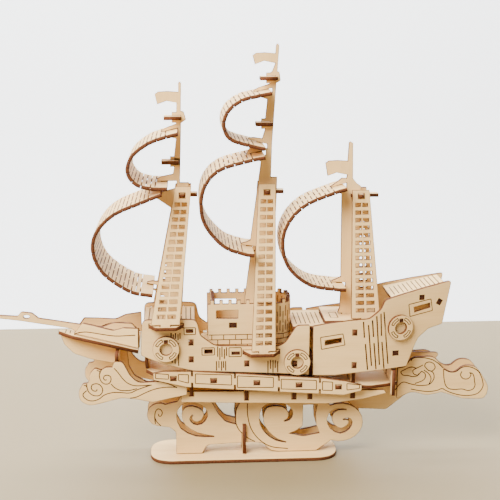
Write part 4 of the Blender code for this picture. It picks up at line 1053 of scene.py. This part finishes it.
class SHIP_OT_braces(bpy.types.Operator):
    """Add the transoms and the cross pieces that hold the waves"""
    bl_idname = "ship.braces"
    bl_label = "Transoms and cross pieces"

    def execute(self, context):
        lean = math.atan2(21.0, 4.5)
        up = (math.cos(lean), 0, math.sin(lean))
        out = (math.sin(lean), 0, -math.cos(lean))
        upper = plane((119.8, 0, 89.6), (0, 1, 0), up, out)
        panes = [box_outline(a, 9.0, a + 3.6, 14.6) for a in (-6.9, -1.8, 3.3)]
        lines = [([straight(-8.2, z, 8.2, z) for z in (7.2, 16.4)], upper, None)]
        outline = [(-8.9, 0.4), (8.9, 0.4), (9.1, 17.6), (-9.1, 17.6)]
        add_plate("upper_transom", "poop_deck", outline, panes, upper, lines)
        lean = math.atan2(17.0, 6.0)
        up = (math.cos(lean), 0, math.sin(lean))
        out = (math.sin(lean), 0, -math.cos(lean))
        lower = plane((96.6, 0, 63.0), (0, 1, 0), up, out)
        outline = [(-12.6, 0.0), (12.6, 0.0), (12.2, 17.6), (-12.2, 17.6)]
        lines = [([straight(-11.2, z, 11.2, z, 2) for z in (4.0, 8.0, 12.0)], lower, None)]
        add_plate("lower_transom", "keel_plate", outline, [], lower, lines)
        cross = plane((-78.2, 0, 0), (0, 1, 0), (0, 0, 1), (-1, 0, 0))
        half = [(1.5, 60.0), (18.4, 60.0), (18.4, 70.0), (21.0, 70.0), (21.0, 74.4),
                (1.5, 74.4)]
        tail = plane((92.7, 0, 0), (0, 1, 0), (0, 0, 1), (1, 0, 0))
        legs = [(1.4, 50.2), (14.8, 50.2), (14.8, 43.0), (19.0, 43.0), (19.0, 59.4),
                (1.4, 59.4)]
        seam = plane((40.5, 0, 0), (0, 1, 0), (0, 0, 1), (1, 0, 0))
        rib = [(1.4, 54.6), (18.2, 54.6), (18.2, 72.0), (1.4, 72.0)]
        foot = [(8.6, 44.6), (15.6, 44.6), (15.6, 42.0), (18.4, 42.0), (18.4, 50.8),
                (8.6, 50.8)]
        for side, sign in SIDES:
            for name, node, outline, surface in (
                    ("bow_cross_brace", "bow_bulkhead", half, cross),
                    ("stern_cross_brace", "keel_plate", legs, tail),
                    ("seam_rib", "cross_frame_3", rib, seam),
                    ("seam_foot", "cross_frame_3", foot, seam)):
                add_plate(f"{name}_{side}", node, [(sign * y, z) for y, z in outline], [],
                          surface)
        return {"FINISHED"}


# ---------------------------------------------------------------- stage

def plain_surface(name, colour, colour_end, scale):
    """Matt surface whose colour drifts a little from place to place."""
    graph = Graph(name)
    place = graph.node("ShaderNodeTexCoord", output="Object")
    drift = graph.stretched(place, (scale, scale, scale), 2.0, 0.5)
    graph.feed(graph.shader.inputs["Base Color"],
               graph.blend(drift.step(0.3, 0.7), colour, colour_end))
    graph.shader.inputs["Roughness"].default_value = 0.62
    return graph.material


def swept(name, profile, half_width, material):
    """Profile in the YZ plane drawn out along X, facing up or towards the ship."""
    profile = np.asarray(profile, float)
    x = np.array((-half_width, half_width))
    points = np.stack((np.repeat(x[None, :], len(profile), 0),
                       np.repeat(profile[:, :1], 2, 1), np.repeat(profile[:, 1:], 2, 1)), -1)
    i = 2 * np.arange(len(profile) - 1)
    faces = np.stack((i, i + 1, i + 3, i + 2), 1)
    mesh = bpy.data.meshes.new(name)
    mesh.from_pydata(points.reshape(-1, 3).tolist(), [], faces.tolist())
    mesh.shade_smooth()
    mesh.materials.append(material)
    piece = bpy.data.objects.new(name, mesh)
    bpy.context.scene.collection.objects.link(piece)


def area_light(name, place, target, size, power, colour):
    """Soft rectangular light aimed at a point."""
    light = bpy.data.lights.new(name, "AREA")
    light.shape, light.size, light.size_y = "RECTANGLE", *size
    light.energy, light.color = power, colour
    lamp = bpy.data.objects.new(name, light)
    lamp.location = place
    lamp.rotation_euler = (Vector(target) - Vector(place)).to_track_quat("-Z", "Y").to_euler()
    bpy.context.scene.collection.objects.link(lamp)


class SHIP_OT_stage(bpy.types.Operator):
    """Set the table, the wall, the lights and the camera"""
    bl_idname = "ship.stage"
    bl_label = "Stage"

    def execute(self, context):
        stage = context.scene.ship_stage
        far = stage.depth
        edge = arc(far - 0.006, -0.006, 0.006, 90, 0, 8)
        table = plain_surface("table_top", stage.table, [0.97 * c for c in stage.table], 6)
        swept("table", np.vstack(((-2.6, 0.0), edge, (far, -0.5))), 3.0, table)
        wall = plain_surface("wall_paint", stage.wall, [0.99 * c for c in stage.wall], 1.5)
        glow = wall.node_tree.nodes["Principled BSDF"].inputs
        glow["Emission Color"].default_value = (0.97, 0.985, 1.0, 1.0)
        glow["Emission Strength"].default_value = 1.1
        cove = arc(far + 0.5, 0.1, 0.6, -90, 0, 16)
        swept("wall", np.vstack(((far + 0.02, -0.5), cove, (far + 1.1, 2.6))), 4.0, wall)
        centre = (0.0, 0.0, 0.12)
        area_light("window_light", (-0.75, -0.75, 1.15), centre, (1.1, 0.9), stage.key,
                   (1.0, 0.97, 0.92))
        area_light("wall_light", (0.0, far + 0.15, 1.3), (0.0, far + 1.0, 0.3), (2.4, 0.5),
                   stage.key * 0.9, (0.95, 0.98, 1.0))
        world = bpy.data.worlds.new("room")
        world.use_nodes = True
        background = world.node_tree.nodes["Background"]
        background.inputs["Color"].default_value = (1.0, 0.93, 0.83, 1.0)
        background.inputs["Strength"].default_value = stage.fill
        context.scene.world = world
        lens = bpy.data.cameras.new("view")
        lens.lens, lens.sensor_width = 75.6, 36.0
        view = bpy.data.objects.new("view", lens)
        view.location = (-0.0345, -0.6332, 0.2739)
        view.rotation_euler = (math.radians(77.5), 0.0, math.radians(-3.5))
        context.scene.collection.objects.link(view)
        context.scene.camera = view
        return {"FINISHED"}


class SHIP_PT_panel(bpy.types.Panel):
    """Sidebar panel with the settings and one button per group of pieces."""
    bl_idname = "SHIP_PT_panel"
    bl_label = "Plywood ship"
    bl_space_type = "VIEW_3D"
    bl_region_type = "UI"
    bl_category = "Ship"

    def draw(self, context):
        for title, group in (("Plywood", context.scene.ship_plywood),
                             ("Sails", context.scene.ship_sail),
                             ("Stage", context.scene.ship_stage)):
            box = self.layout.box()
            box.label(text=title)
            for key in group.__annotations__:
                box.prop(group, key)
        for operator in STEPS:
            self.layout.operator(operator.bl_idname)


GROUPS = (PlywoodSettings, SailSettings, StageSettings)
STEPS = (SHIP_OT_stand, SHIP_OT_hull, SHIP_OT_sides, SHIP_OT_decks, SHIP_OT_ends, SHIP_OT_rig,
         SHIP_OT_castle, SHIP_OT_sails, SHIP_OT_braces, SHIP_OT_stage)


def register():
    """Register the settings, the steps and the panel."""
    for group in (*GROUPS, *STEPS, SHIP_PT_panel):
        bpy.utils.register_class(group)
    bpy.types.Scene.ship_plywood = PointerProperty(type=PlywoodSettings)
    bpy.types.Scene.ship_sail = PointerProperty(type=SailSettings)
    bpy.types.Scene.ship_stage = PointerProperty(type=StageSettings)


def unregister():
    """Undo register."""
    for key in ("ship_plywood", "ship_sail", "ship_stage"):
        delattr(bpy.types.Scene, key)
    for group in (SHIP_PT_panel, *reversed(STEPS), *reversed(GROUPS)):
        bpy.utils.unregister_class(group)


def main():
    """Make every piece in order."""
    register()
    bpy.ops.ship.stand()
    bpy.ops.ship.hull()
    bpy.ops.ship.sides()
    bpy.ops.ship.decks()
    bpy.ops.ship.ends()
    bpy.ops.ship.rig()
    bpy.ops.ship.castle()
    bpy.ops.ship.sails()
    bpy.ops.ship.braces()
    bpy.ops.ship.stage()


if __name__ == "__main__":
    main()
